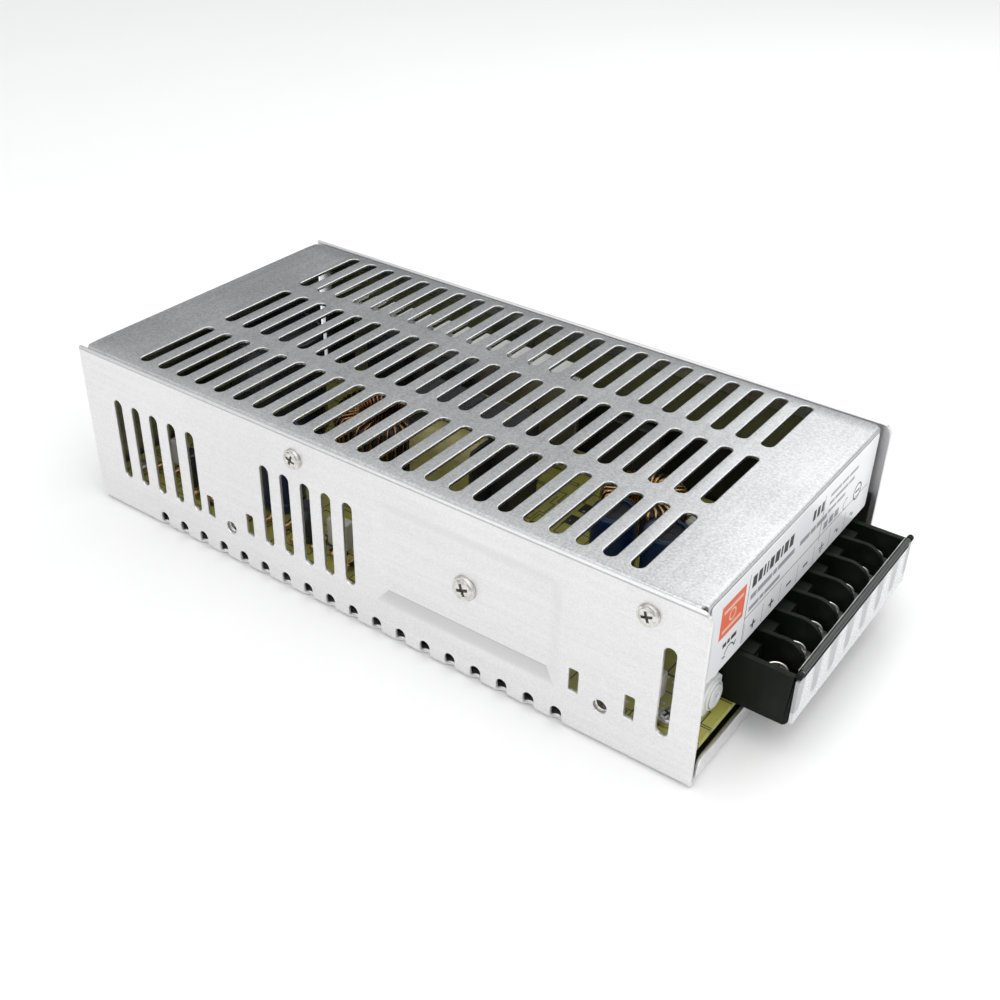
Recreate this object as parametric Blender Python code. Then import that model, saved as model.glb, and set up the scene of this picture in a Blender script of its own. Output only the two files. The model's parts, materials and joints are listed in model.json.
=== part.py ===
"""Enclosed, perforated-case, chassis-mount AC to DC switching power supply.

World frame in metres: +X is the terminal end, +Y the mains side, +Z up.  The origin is at the bottom
centre of the whole object's box, which includes the terminal block that stands out of the case.
Lengths below are written in millimetres times MM.  Places along the case are measured from its rear or
its front end, and places across it from the outer face of the output-side or the mains-side wall.
"""
import math

import bmesh
import bpy

MM = 0.001

# Case
CASE_LENGTH = 199.0 * MM
CASE_WIDTH = 99.0 * MM
CASE_HEIGHT = 50.0 * MM
WALL = 1.2 * MM
BEND_RADIUS = 2.0 * MM
WALL_CORNER_RADIUS = 3.0 * MM
LIP_HEIGHT = 6.2 * MM
LIP_END_CLEARANCE = 3.0 * MM
LIP_CORNER_CLIP = 2.0 * MM
TOUCH_GAP = 0.3 * MM

# Cover
COVER_SHEET = 1.0 * MM
COVER_SIDE_GAP = 0.25 * MM
COVER_BEND = 1.0 * MM
COVER_FRONT_SETBACK = 2.4 * MM
COVER_REAR_SETBACK = 0.4 * MM
COVER_BLOCK_CLEARANCE = 0.6 * MM
COVER_SIDE_FLANGE = 5.0 * MM
COVER_TAB_DEPTH = 11.0 * MM
COVER_TAB_WIDTH = 16.0 * MM
COVER_CORNER_RELIEF = 1.6 * MM

# Ventilation slots in the cover
VENT_ROWS = 3
VENT_WIDTH = 3.4 * MM
VENT_COLUMN_PITCH = 7.12 * MM
VENT_ROW_GAP = 5.7 * MM
VENT_SIDE_MARGIN = 4.8 * MM
VENT_REAR_MARGIN = 20.5 * MM
VENT_FRONT_MARGIN = 21.0 * MM
VENT_FIELD_SHIFT = 0.5 * MM

# Output-side wall: slots, holes, pressed recess
SIDE_SLOT_WIDTH = 3.2 * MM
SIDE_SLOT_LOW = 11.9 * MM
SIDE_SLOT_TOP_DROP = 12.9 * MM
SIDE_SLOT_PITCH = 7.15 * MM
SIDE_SLOT_GROUP = 5
SIDE_SLOT_GROUP_STARTS = (13.3 * MM, 69.7 * MM)
SIDE_SLOT_FROM_FRONT = 8.7 * MM
SMALL_SLOT_WIDTH = 2.6 * MM
SMALL_SLOT_LOW = 12.1 * MM
SMALL_SLOT_HIGH = 18.8 * MM
SMALL_SLOT_OFFSET = 7.5 * MM
SIDE_MOUNT_FROM_REAR = 55.0 * MM
SIDE_MOUNT_FROM_FRONT = 24.8 * MM
SIDE_MOUNT_HEIGHT = 11.6 * MM
SIDE_MOUNT_BORE = 3.0 * MM
ARCH_FROM_REAR = 26.9 * MM
ARCH_FRONT_MARGIN = 36.0 * MM
ARCH_PITCH = 7.97 * MM
ARCH_WIDTH = 3.1 * MM
ARCH_HEIGHT = 5.0 * MM
ARCH_DEPTH = 3.4 * MM
RECESS_FROM_FRONT = 64.5 * MM
RECESS_LENGTH = 48.0 * MM
RECESS_LOW = 15.3 * MM
RECESS_TOP_DROP = 11.3 * MM
RECESS_RAMP = 4.6 * MM
RECESS_DEPTH = 1.0 * MM

# Bottom: customer mounting holes and board standoffs
BASE_MOUNT_BORE = 4.0 * MM
BASE_MOUNT_INSET = 17.0 * MM
STANDOFF_RADIUS = 3.0 * MM
STANDOFF_BORE = 3.5 * MM
STANDOFF_FROM_REAR = 9.0 * MM
STANDOFF_FROM_FRONT = 11.0 * MM
STANDOFF_FROM_OUTPUT_WALL = 8.0 * MM
STANDOFF_FROM_MAINS_WALL = 7.0 * MM

# Screws
COVER_SCREW_FROM_REAR = 81.0 * MM
COVER_SCREW_FROM_FRONT = 14.7 * MM
COVER_SCREW_DROP = 6.4 * MM
CASE_HEAD_PROUD = 1.2 * MM
CASE_HEAD_RADIUS = 2.8 * MM
CLAMP_HEAD_RADIUS = 3.4 * MM
SCREW_SHANK_RADIUS = 1.45 * MM
SCREW_HOLE_RADIUS = 1.8 * MM
SCREW_LENGTH = 6.0 * MM
BOARD_HEAD_RADIUS = 2.9 * MM
BOARD_HEAD_HEIGHT = 1.8 * MM

# Insulating film and board
FILM = 0.4 * MM
FILM_FLAP_TOP = 29.0 * MM
FILM_HOLE_RADIUS = 3.7 * MM
BOARD_THICKNESS = 1.6 * MM
BOARD_UNDERSIDE = 7.8 * MM
BOARD_FRONT_SETBACK = 1.6 * MM
BOARD_REAR_SETBACK = 3.0 * MM
BOARD_SIDE_CLEARANCE = 1.0 * MM

# Terminal block
POLES = 7
POLE_PITCH = 9.5 * MM
DIVIDER = 1.4 * MM
END_WALL = 1.7 * MM
BLOCK_FROM_MAINS_WALL = 8.5 * MM
BLOCK_REAR_SETBACK = 8.5 * MM
BLOCK_REACH = 12.0 * MM
BLOCK_LIFT = 0.3 * MM
BLOCK_END_HEIGHT = 14.6 * MM
DIVIDER_HEIGHT = 15.7 * MM
FLOOR_HEIGHT = 5.8 * MM
SHOULDER_HEIGHT = 12.0 * MM
SHOULDER_DEPTH = 8.2 * MM
DIVIDER_FRONT_SETBACK = 1.8 * MM
CROWN_LENGTH = 4.0 * MM
CROWN_HEIGHT = 3.0 * MM
CROWN_BACK_FALL = 0.8 * MM
BODY_FRONT_SETBACK = 0.6 * MM
CONTACT_THICKNESS = 0.8 * MM
CONTACT_SIDE_CLEARANCE = 0.55 * MM
CONTACT_LENGTH = 10.9 * MM
TONGUE_LENGTH = 2.0 * MM
TONGUE_THICKNESS = 0.55 * MM
CLAMP_SIDE_CLEARANCE = 0.75 * MM
CLAMP_THICKNESS = 0.9 * MM
TERMINAL_HEAD_RADIUS = 3.0 * MM
TERMINAL_HEAD_HEIGHT = 2.2 * MM
TERMINAL_SHANK_RADIUS = 1.7 * MM
TERMINAL_SHANK_LENGTH = 4.0 * MM
TERMINAL_SCREW_FROM_FRONT = 6.6 * MM

# Clear terminal cover, hanging open in front of the block
SHIELD_THICKNESS = 1.0 * MM
SHIELD_FOOT_RISE = 1.3 * MM
SHIELD_AXIS_RISE = 0.6 * MM
SHIELD_BLOCK_GAP = 0.2 * MM
SHIELD_BEAD_RADIUS = 0.9 * MM
SHIELD_PIN_RADIUS = 0.6 * MM
SHIELD_PIN_BORE = 0.9 * MM
EAR_RADIUS = 1.5 * MM

# Output adjuster and pilot lamp
TRIMMER_BLOCK_GAP = 0.7 * MM
TRIMMER_WIDTH = 9.0 * MM
TRIMMER_DEPTH = 5.0 * MM
TRIMMER_HEIGHT = 9.0 * MM
TRIMMER_FRONT_SETBACK = 4.4 * MM
ROTOR_RADIUS = 3.2 * MM
ROTOR_LENGTH = 2.2 * MM
ROTOR_SEAT_DEPTH = 1.4 * MM
LAMP_RADIUS = 2.5 * MM
LAMP_LENGTH = 7.0 * MM
LAMP_FLANGE = 0.4 * MM
LAMP_TRIMMER_GAP = 0.2 * MM
LAMP_OFFSET = 0.8 * MM
LAMP_LEG_PITCH = 2.54 * MM
LAMP_LEG = 0.6 * MM

# Label film
LABEL_THICKNESS = 0.2 * MM
LABEL_GAP = 0.1 * MM
LABEL_MARGIN = 0.8 * MM

# Parts on the board
HEADROOM = 7.3 * MM
HEAT_BAR_THICKNESS = 3.0 * MM
HEATSINK_FROM_MAINS_WALL = 14.0 * MM
HEATSINK_THICKNESS = 2.0 * MM
HEATSINK_FROM_REAR = 28.0 * MM
HEATSINK_LENGTH = 85.0 * MM
HEATSINK_TABS = 8
HEATSINK_TAB_PITCH = 10.5 * MM
HEATSINK_TAB = (5.5 * MM, 6.0 * MM, 1.3 * MM)
CORE_SIZE = (36.0 * MM, 14.0 * MM, 28.0 * MM)
CORE_LEG = 6.0 * MM
CORE_YOKE = 3.5 * MM
WINDING_LENGTH = 32.0 * MM
RECTIFIER_SIZE = (10.0 * MM, 4.4 * MM, 16.0 * MM)
RECTIFIER_OFFSET = 13.0 * MM
SWITCH_SIZE = (15.0 * MM, 4.8 * MM, 20.0 * MM)
BRIDGE_SIZE = (20.0 * MM, 4.0 * MM, 17.0 * MM)
BULK_CAN_RADIUS = 15.0 * MM
OUTPUT_CAN_RADIUS = 6.3 * MM
OUTPUT_CAN_HEIGHT = 25.0 * MM
POWER_CHOKE_RING = (10.5 * MM, 5.0 * MM)
FILTER_CHOKE_RING = (8.5 * MM, 4.2 * MM)
LINE_CAPACITOR_SIZE = (18.0 * MM, 8.5 * MM, 15.0 * MM)
FUSE_SIZE = (20.0 * MM, 5.2 * MM, 5.2 * MM)

# Where the parts stand: first from the rear or the front end, then from the wall they belong near
TRANSFORMER_PLACE = (94.0 * MM, 40.5 * MM)
BULK_PLACE = (24.0 * MM, 47.0 * MM)
REAR_CAN_PLACE = (56.0 * MM, 20.0 * MM)
OUTPUT_CAN_FROM_FRONT = (48.0 * MM, 33.0 * MM)
OUTPUT_CAN_ROW = 42.0 * MM
OUTPUT_CHOKE_PLACE = (71.0 * MM, 26.0 * MM)
BOOST_CHOKE_PLACE = (57.5 * MM, 36.5 * MM)
FILTER_CHOKE_PLACE = (56.0 * MM, 26.0 * MM)
BRIDGE_PLACE = (128.0 * MM, 9.0 * MM)
LINE_CAPACITOR_PLACE = (29.0 * MM, 33.0 * MM)
FUSE_PLACE = (29.0 * MM, 15.0 * MM)
SWITCH_FROM_HEATSINK_END = 17.0 * MM
DIODE_FROM_HEATSINK_END = 40.0 * MM

# Worked out from the values above
SHIELD_AXIS_REACH = BLOCK_REACH + SHIELD_BLOCK_GAP + SHIELD_THICKNESS / 2
OVERALL_LENGTH = CASE_LENGTH + SHIELD_AXIS_REACH + EAR_RADIUS
REAR = -OVERALL_LENGTH / 2
FRONT = REAR + CASE_LENGTH
SIDE = -CASE_WIDTH / 2
HALF = CASE_WIDTH / 2
BOARD_TOP = BOARD_UNDERSIDE + BOARD_THICKNESS
SEAT = BOARD_TOP + TOUCH_GAP
BLOCK_WIDTH = POLES * POLE_PITCH + 2 * END_WALL - DIVIDER
BLOCK_NEAR = HALF - BLOCK_FROM_MAINS_WALL - BLOCK_WIDTH
BLOCK_BASE = BOARD_TOP + BLOCK_LIFT
BAY_WIDTH = POLE_PITCH - DIVIDER
CONTACT_WIDTH = BAY_WIDTH - 2 * CONTACT_SIDE_CLEARANCE
CLAMP_SIZE = BAY_WIDTH - 2 * CLAMP_SIDE_CLEARANCE
BLOCK_REAR = FRONT - BLOCK_REAR_SETBACK
BLOCK_FRONT = FRONT + BLOCK_REACH
BLOCK_FLOOR = BLOCK_BASE + FLOOR_HEIGHT
CONTACT_BASE = BLOCK_FLOOR + TOUCH_GAP
CLAMP_BASE = CONTACT_BASE + CONTACT_THICKNESS + TOUCH_GAP
SCREW_SEAT = CLAMP_BASE + CLAMP_THICKNESS + TOUCH_GAP
TERMINAL_SCREW_X = BLOCK_FRONT - TERMINAL_SCREW_FROM_FRONT
SHIELD_AXIS_X = FRONT + SHIELD_AXIS_REACH
SHIELD_AXIS_Z = BLOCK_BASE + BLOCK_END_HEIGHT + SHIELD_AXIS_RISE
SHIELD_DROP = BLOCK_END_HEIGHT + SHIELD_AXIS_RISE - SHIELD_FOOT_RISE
TRIMMER_Y = BLOCK_NEAR - TRIMMER_BLOCK_GAP - TRIMMER_WIDTH / 2
COVER_HALF = HALF - WALL - COVER_SIDE_GAP
COVER_FRONT = FRONT - COVER_FRONT_SETBACK
COVER_REAR = REAR + COVER_REAR_SETBACK
COVER_FLANGE_FOOT = BLOCK_BASE + DIVIDER_HEIGHT + COVER_BLOCK_CLEARANCE
COVER_SCREW_HEIGHT = CASE_HEIGHT - COVER_SCREW_DROP
COVER_SCREW_PLACES = (REAR + COVER_SCREW_FROM_REAR, FRONT - COVER_SCREW_FROM_FRONT)
SIDE_MOUNT_PLACES = (REAR + SIDE_MOUNT_FROM_REAR, FRONT - SIDE_MOUNT_FROM_FRONT)
SIDE_SLOT_HIGH = CASE_HEIGHT - SIDE_SLOT_TOP_DROP
RECESS_X = FRONT - RECESS_FROM_FRONT
RECESS_HIGH = CASE_HEIGHT - RECESS_TOP_DROP
RECESS_MIDDLE = (RECESS_LOW + RECESS_HIGH) / 2
VENT_LENGTH = (CASE_WIDTH - 2 * VENT_SIDE_MARGIN - (VENT_ROWS - 1) * VENT_ROW_GAP) / VENT_ROWS
VENT_COLUMNS = int((CASE_LENGTH - VENT_REAR_MARGIN - VENT_FRONT_MARGIN) / VENT_COLUMN_PITCH) + 1
ARCH_COUNT = int((CASE_LENGTH - ARCH_FROM_REAR - ARCH_FRONT_MARGIN) / ARCH_PITCH) + 1
CEILING = CASE_HEIGHT - HEADROOM
RING_STEPS = 12
ARC_STEPS = 4


def clear_scene():
    for obj in list(bpy.data.objects):
        bpy.data.objects.remove(obj, do_unlink=True)


def material(name, colour, roughness, metallic=0.0, alpha=1.0):
    """A Principled material, made once and shared after that."""
    found = bpy.data.materials.get(name)
    if found:
        return found
    made = bpy.data.materials.new(name)
    made.use_nodes = True
    shader = made.node_tree.nodes["Principled BSDF"]
    shader.inputs["Base Color"].default_value = (*colour, 1.0)
    shader.inputs["Roughness"].default_value = roughness
    shader.inputs["Metallic"].default_value = metallic
    shader.inputs["Alpha"].default_value = alpha
    made.diffuse_color = (*colour, alpha)
    return made


def from_rear(distance):
    return REAR + distance


def from_front(distance):
    return FRONT - distance


def off_output_wall(distance):
    return SIDE + distance


def off_mains_wall(distance):
    return HALF - distance


def arc(centre, radius, start, end, steps=ARC_STEPS):
    """Points on an arc, both ends included; angles in degrees."""
    points = []
    for i in range(steps + 1):
        angle = math.radians(start + (end - start) * i / steps)
        points.append((centre[0] + radius * math.cos(angle), centre[1] + radius * math.sin(angle)))
    return points


def circle(centre, radius, steps=RING_STEPS):
    return arc(centre, radius, 0, 360 - 360 / steps, steps - 1)


def rectangle(low, high):
    return [(low[0], low[1]), (high[0], low[1]), (high[0], high[1]), (low[0], high[1])]


def upright_slot(centre, length, width):
    """A slot outline with round ends, long in its second coordinate."""
    reach = (length - width) / 2
    top = arc((centre[0], centre[1] + reach), width / 2, 0, 180)
    bottom = arc((centre[0], centre[1] - reach), width / 2, 180, 360)
    return top + bottom


def prism(outline, axis, low, high, bm=None):
    """A closed prism of the outline, between two places on its axis, added to a bmesh."""
    bm = bm or bmesh.new()
    order = {"X": (1, 2, 0), "Y": (0, 2, 1), "Z": (0, 1, 2)}[axis]

    def ring(level):
        verts = []
        for u, v in outline:
            point = [0.0, 0.0, 0.0]
            point[order[0]] = u
            point[order[1]] = v
            point[order[2]] = level
            verts.append(bm.verts.new(point))
        return verts

    first = ring(low)
    last = ring(high)
    faces = [bm.faces.new(first), bm.faces.new(last)]
    for i in range(len(outline)):
        j = (i + 1) % len(outline)
        faces.append(bm.faces.new((first[i], first[j], last[j], last[i])))
    bmesh.ops.recalc_face_normals(bm, faces=faces)
    return bm


def block(low, high, bm=None):
    """A closed box between two corners."""
    return prism(rectangle(low[:2], high[:2]), "Z", low[2], high[2], bm)


def turned(profile, steps=RING_STEPS):
    """A closed solid of revolution about Z; the profile runs from the axis to the axis."""
    bm = bmesh.new()
    rings = []
    for radius, height in profile:
        if radius == 0:
            rings.append([bm.verts.new((0, 0, height))])
            continue
        rings.append([bm.verts.new((x, y, height)) for x, y in circle((0, 0), radius, steps)])
    for upper, lower in zip(rings, rings[1:]):
        for i in range(steps):
            j = (i + 1) % steps
            corners = [upper[i % len(upper)], upper[j % len(upper)]]
            corners += [lower[j % len(lower)], lower[i % len(lower)]]
            unique = list(dict.fromkeys(corners))
            bm.faces.new(unique)
    bmesh.ops.recalc_face_normals(bm, faces=bm.faces)
    return bm


def wound_ring(major, minor, squash, turns, depth, sides=8):
    """A closed ring about Z whose section swells with each turn of its winding."""
    bm = bmesh.new()
    steps = turns * 2
    rings = []
    for i in range(steps):
        angle = 2 * math.pi * i / steps
        radius = minor - (depth if i % 2 else 0)
        ring = []
        for k in range(sides):
            turn = 2 * math.pi * k / sides
            reach = major + radius * math.cos(turn)
            height = squash * radius * math.sin(turn)
            ring.append(bm.verts.new((reach * math.cos(angle), reach * math.sin(angle), height)))
        rings.append(ring)
    for i in range(steps):
        for k in range(sides):
            a = rings[i]
            b = rings[(i + 1) % steps]
            n = (k + 1) % sides
            bm.faces.new((a[k], a[n], b[n], b[k]))
    bmesh.ops.recalc_face_normals(bm, faces=bm.faces)
    return bm


def add(name, bm, finish, location=(0, 0, 0), turn=None, smooth=False):
    """Make a named object from a bmesh, with its origin where the location says."""
    mesh = bpy.data.meshes.new(name)
    bm.to_mesh(mesh)
    bm.free()
    obj = bpy.data.objects.new(name, mesh)
    bpy.context.collection.objects.link(obj)
    obj.location = location
    if turn:
        obj.rotation_euler = turn
    if finish:
        mesh.materials.append(finish)
    if smooth:
        mesh.shade_smooth()
        mesh.set_sharp_from_angle(angle=math.radians(35))
    return obj


def tool(name, bm):
    """A hidden solid that a Boolean uses."""
    obj = add(name, bm, None)
    obj.hide_render = True
    obj.display_type = "WIRE"
    return obj


def boolean(obj, helper, operation):
    modifier = obj.modifiers.new(helper.name, "BOOLEAN")
    modifier.operation = operation
    modifier.solver = "EXACT"
    modifier.object = helper


def cut(obj, name, bm):
    boolean(obj, tool(name, bm), "DIFFERENCE")


def fuse(obj, name, bm):
    boolean(obj, tool(name, bm), "UNION")


def bevelled_box(size, bevel):
    """A box about the origin's base centre with every edge chamfered."""
    bm = block((-size[0] / 2, -size[1] / 2, 0), (size[0] / 2, size[1] / 2, size[2]))
    bmesh.ops.bevel(bm, geom=list(bm.edges), offset=bevel, segments=1, affect="EDGES")
    return bm


# ---------------------------------------------------------------- case

def recess_frustum(shift, start):
    """The pressed recess as a solid: its section shrinks by the ramp over the recess depth."""
    bm = bmesh.new()
    rings = []
    for depth in (start, RECESS_DEPTH):
        grow = RECESS_RAMP * (1 - depth / RECESS_DEPTH)
        low = (RECESS_X - RECESS_LENGTH / 2 - grow, RECESS_LOW - grow)
        high = (RECESS_X + RECESS_LENGTH / 2 + grow, RECESS_HIGH + grow)
        level = SIDE + shift + depth
        rings.append([bm.verts.new((x, level, z)) for x, z in rectangle(low, high)])
    bm.faces.new(rings[0])
    bm.faces.new(rings[1])
    for i in range(4):
        j = (i + 1) % 4
        bm.faces.new((rings[0][i], rings[0][j], rings[1][j], rings[1][i]))
    bmesh.ops.recalc_face_normals(bm, faces=bm.faces)
    return bm


def channel_outline():
    """Section of the folded chassis across its length: a bottom and two walls."""
    inner = BEND_RADIUS - WALL
    right = HALF - BEND_RADIUS
    outline = [(-HALF, CASE_HEIGHT)]
    outline += arc((-right, BEND_RADIUS), BEND_RADIUS, 180, 270)
    outline += arc((right, BEND_RADIUS), BEND_RADIUS, 270, 360)
    outline += [(HALF, CASE_HEIGHT), (HALF - WALL, CASE_HEIGHT)]
    outline += arc((right, BEND_RADIUS), inner, 360, 270)
    outline += arc((-right, BEND_RADIUS), inner, 270, 180)
    outline += [(-HALF + WALL, CASE_HEIGHT)]
    return outline


def lip_outline():
    """Section of the upturned front lip along the case."""
    root = FRONT - BEND_RADIUS
    back = root - 1.0 * MM
    outline = [(back, 0.0)]
    outline += arc((root, BEND_RADIUS), BEND_RADIUS, 270, 360)
    outline += [(FRONT, LIP_HEIGHT), (FRONT - WALL, LIP_HEIGHT)]
    outline += arc((root, BEND_RADIUS), BEND_RADIUS - WALL, 360, 270)
    outline += [(back, WALL)]
    return outline


def side_cuts():
    """Everything punched through the output-side wall, as one set of cutters."""
    bm = bmesh.new()
    outside = SIDE - 1.0 * MM
    inside = SIDE + WALL + RECESS_DEPTH + 1.0 * MM
    middle = (SIDE_SLOT_LOW + SIDE_SLOT_HIGH) / 2
    length = SIDE_SLOT_HIGH - SIDE_SLOT_LOW
    places = [from_front(SIDE_SLOT_FROM_FRONT)]
    for start in SIDE_SLOT_GROUP_STARTS:
        places += [from_rear(start + SIDE_SLOT_PITCH * i) for i in range(SIDE_SLOT_GROUP)]
    for place in places:
        slot = upright_slot((place, middle), length, SIDE_SLOT_WIDTH)
        prism(slot, "Y", outside, inside, bm)
    prism(circle((RECESS_X, RECESS_MIDDLE), SCREW_HOLE_RADIUS), "Y", outside, inside, bm)
    return bm


def arch_cuts():
    """The row of arched drain holes that straddles the bottom bend of the output-side wall."""
    bm = bmesh.new()
    for i in range(ARCH_COUNT):
        x = from_rear(ARCH_FROM_REAR + ARCH_PITCH * i)
        half = ARCH_WIDTH / 2
        outline = arc((x, ARCH_HEIGHT - half), half, 0, 180)
        outline += [(x - half, -1.0 * MM), (x + half, -1.0 * MM)]
        prism(outline, "Y", SIDE - 1.0 * MM, SIDE + ARCH_DEPTH, bm)
    return bm


def common_wall_cuts():
    """Holes that both long walls share: mounting bores, locating slots and cover screws."""
    bm = bmesh.new()
    spans = ((-HALF - MM, -HALF + WALL + MM), (HALF - WALL - MM, HALF + MM))
    for near, far in spans:
        for place in SIDE_MOUNT_PLACES:
            centre = (place, SIDE_MOUNT_HEIGHT)
            prism(circle(centre, SIDE_MOUNT_BORE / 2), "Y", near, far, bm)
            for side in (-1, 1):
                x = centre[0] + side * SMALL_SLOT_OFFSET
                low = (x - SMALL_SLOT_WIDTH / 2, SMALL_SLOT_LOW)
                high = (x + SMALL_SLOT_WIDTH / 2, SMALL_SLOT_HIGH)
                prism(rectangle(low, high), "Y", near, far, bm)
        for place in COVER_SCREW_PLACES:
            hole = circle((place, COVER_SCREW_HEIGHT), SCREW_HOLE_RADIUS)
            prism(hole, "Y", near, far, bm)
    return bm


def base_mount_points():
    rows = (off_output_wall(BASE_MOUNT_INSET), off_mains_wall(BASE_MOUNT_INSET))
    return [(x, y) for x in SIDE_MOUNT_PLACES for y in rows]


def standoff_points():
    columns = (from_rear(STANDOFF_FROM_REAR), from_front(STANDOFF_FROM_FRONT))
    rows = (off_output_wall(STANDOFF_FROM_OUTPUT_WALL), off_mains_wall(STANDOFF_FROM_MAINS_WALL))
    return [(x, y) for x in columns for y in rows]


def base_chassis():
    finish = material("satin_aluminium_sheet", (0.78, 0.78, 0.80), 0.42, 1.0)
    obj = add("base_chassis", prism(channel_outline(), "X", REAR, FRONT), finish)
    root = FRONT - BEND_RADIUS - 0.5 * MM
    reach = HALF - BEND_RADIUS - 0.2 * MM
    cut(obj, "front_edge_cut", block((root, -reach, -MM), (FRONT + MM, reach, WALL + 0.5 * MM)))
    lip_reach = HALF - LIP_END_CLEARANCE
    fuse(obj, "front_lip", prism(lip_outline(), "Y", -lip_reach, lip_reach))
    clip = bmesh.new()
    for side in (-1, 1):
        tip = side * (lip_reach + 0.4 * MM)
        foot = side * (lip_reach - LIP_CORNER_CLIP)
        top = LIP_HEIGHT + 0.4 * MM
        prism([(tip, LIP_HEIGHT - LIP_CORNER_CLIP), (tip, top), (foot, top)], "X",
              FRONT - 2 * WALL, FRONT + MM, clip)
    cut(obj, "lip_corner_clips", clip)
    corner = (FRONT - WALL_CORNER_RADIUS, CASE_HEIGHT - WALL_CORNER_RADIUS)
    outline = arc(corner, WALL_CORNER_RADIUS, 90, 0)
    outline += [(FRONT + MM, corner[1]), (FRONT + MM, CASE_HEIGHT + MM), (corner[0], CASE_HEIGHT + MM)]
    cut(obj, "wall_corner_rounds", prism(outline, "Y", -HALF - MM, HALF + MM))
    fuse(obj, "recess_back", recess_frustum(WALL, -0.2 * MM))
    cut(obj, "recess_front", recess_frustum(0.0, -0.2 * MM))
    posts = bmesh.new()
    bores = bmesh.new()
    for point in standoff_points():
        prism(circle(point, STANDOFF_RADIUS), "Z", WALL - 0.2 * MM, BOARD_UNDERSIDE - TOUCH_GAP, posts)
        prism(circle(point, STANDOFF_BORE / 2), "Z", WALL / 2 + 0.4 * MM, BOARD_UNDERSIDE, bores)
    fuse(obj, "board_standoffs", posts)
    for point in base_mount_points():
        prism(circle(point, BASE_MOUNT_BORE / 2), "Z", -MM, WALL + MM, bores)
    cut(obj, "bottom_bores", bores)
    cut(obj, "side_wall_cuts", side_cuts())
    cut(obj, "arch_cuts", arch_cuts())
    cut(obj, "common_wall_cuts", common_wall_cuts())
    return obj


def folded_arc(x, z, start, end):
    """Outer bend arc of the cover, with its centre in the corner."""
    return arc((x, z), COVER_BEND, start, end, 3)


def cover_length_outline():
    """Section of the cover along the case: rear flange, top, front flange."""
    top = CASE_HEIGHT
    foot = WALL + TOUCH_GAP
    outline = [(COVER_REAR, foot)]
    outline += folded_arc(COVER_REAR + COVER_BEND, top - COVER_BEND, 180, 90)
    outline += folded_arc(COVER_FRONT - COVER_BEND, top - COVER_BEND, 90, 0)
    outline += [(COVER_FRONT, COVER_FLANGE_FOOT), (COVER_FRONT - COVER_SHEET, COVER_FLANGE_FOOT)]
    outline += [(COVER_FRONT - COVER_SHEET, top - COVER_SHEET), (COVER_REAR + COVER_SHEET, top - COVER_SHEET)]
    outline += [(COVER_REAR + COVER_SHEET, foot)]
    return outline


def cover_width_outline():
    """Section of the cover across the case: a top with two short flanges inside the walls."""
    top = CASE_HEIGHT
    foot = top - COVER_SIDE_FLANGE
    outline = [(-COVER_HALF, foot)]
    outline += folded_arc(-COVER_HALF + COVER_BEND, top - COVER_BEND, 180, 90)
    outline += folded_arc(COVER_HALF - COVER_BEND, top - COVER_BEND, 90, 0)
    outline += [(COVER_HALF, foot), (COVER_HALF - COVER_SHEET, foot)]
    outline += [(COVER_HALF - COVER_SHEET, top - COVER_SHEET), (-COVER_HALF + COVER_SHEET, top - COVER_SHEET)]
    outline += [(-COVER_HALF + COVER_SHEET, foot)]
    return outline


def top_cover():
    finish = material("fine_grain_aluminium_cover", (0.62, 0.64, 0.65), 0.5, 1.0)
    reach = COVER_HALF - COVER_CORNER_RELIEF
    obj = add("top_cover", prism(cover_length_outline(), "Y", -reach, reach), finish)
    low = COVER_REAR + COVER_CORNER_RELIEF
    high = COVER_FRONT - COVER_CORNER_RELIEF
    fuse(obj, "cover_sides", prism(cover_width_outline(), "X", low, high))
    tabs = bmesh.new()
    holes = bmesh.new()
    for side in (-1, 1):
        inner = side * (COVER_HALF - COVER_SHEET)
        outer = side * COVER_HALF
        for x in COVER_SCREW_PLACES:
            half = min(COVER_TAB_WIDTH / 2, high - x)
            block((x - half, min(inner, outer), CASE_HEIGHT - COVER_TAB_DEPTH),
                  (x + half, max(inner, outer), CASE_HEIGHT - COVER_SIDE_FLANGE + 0.5 * MM), tabs)
            hole = circle((x, COVER_SCREW_HEIGHT), SCREW_HOLE_RADIUS)
            prism(hole, "Y", min(inner, outer) - MM, max(inner, outer) + MM, holes)
    fuse(obj, "cover_screw_tabs", tabs)
    cut(obj, "cover_screw_holes", holes)
    vents = bmesh.new()
    for row in range(VENT_ROWS):
        y = VENT_FIELD_SHIFT + (row - (VENT_ROWS - 1) / 2) * (VENT_LENGTH + VENT_ROW_GAP)
        for column in range(VENT_COLUMNS):
            x = from_rear(VENT_REAR_MARGIN + VENT_COLUMN_PITCH * column)
            prism(upright_slot((x, y), VENT_LENGTH, VENT_WIDTH), "Z",
                  CASE_HEIGHT - COVER_SHEET - MM, CASE_HEIGHT + MM, vents)
    cut(obj, "cover_vents", vents)
    return obj


def insulating_film():
    finish = material("black_insulating_film", (0.02, 0.02, 0.022), 0.45)
    low = WALL + TOUCH_GAP
    wall = HALF - WALL - TOUCH_GAP
    edge = -HALF + BEND_RADIUS + MM
    outline = [(edge, low), (wall, low), (wall, FILM_FLAP_TOP), (wall - FILM, FILM_FLAP_TOP),
               (wall - FILM, low + FILM), (edge, low + FILM)]
    back = COVER_REAR + COVER_SHEET + MM
    front = FRONT - WALL - TOUCH_GAP
    obj = add("insulating_film", prism(outline, "X", back, front), finish)
    holes = bmesh.new()
    for point in standoff_points():
        prism(circle(point, FILM_HOLE_RADIUS), "Z", low - 0.2 * MM, low + FILM + MM, holes)
    cut(obj, "film_standoff_holes", holes)
    return obj


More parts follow.
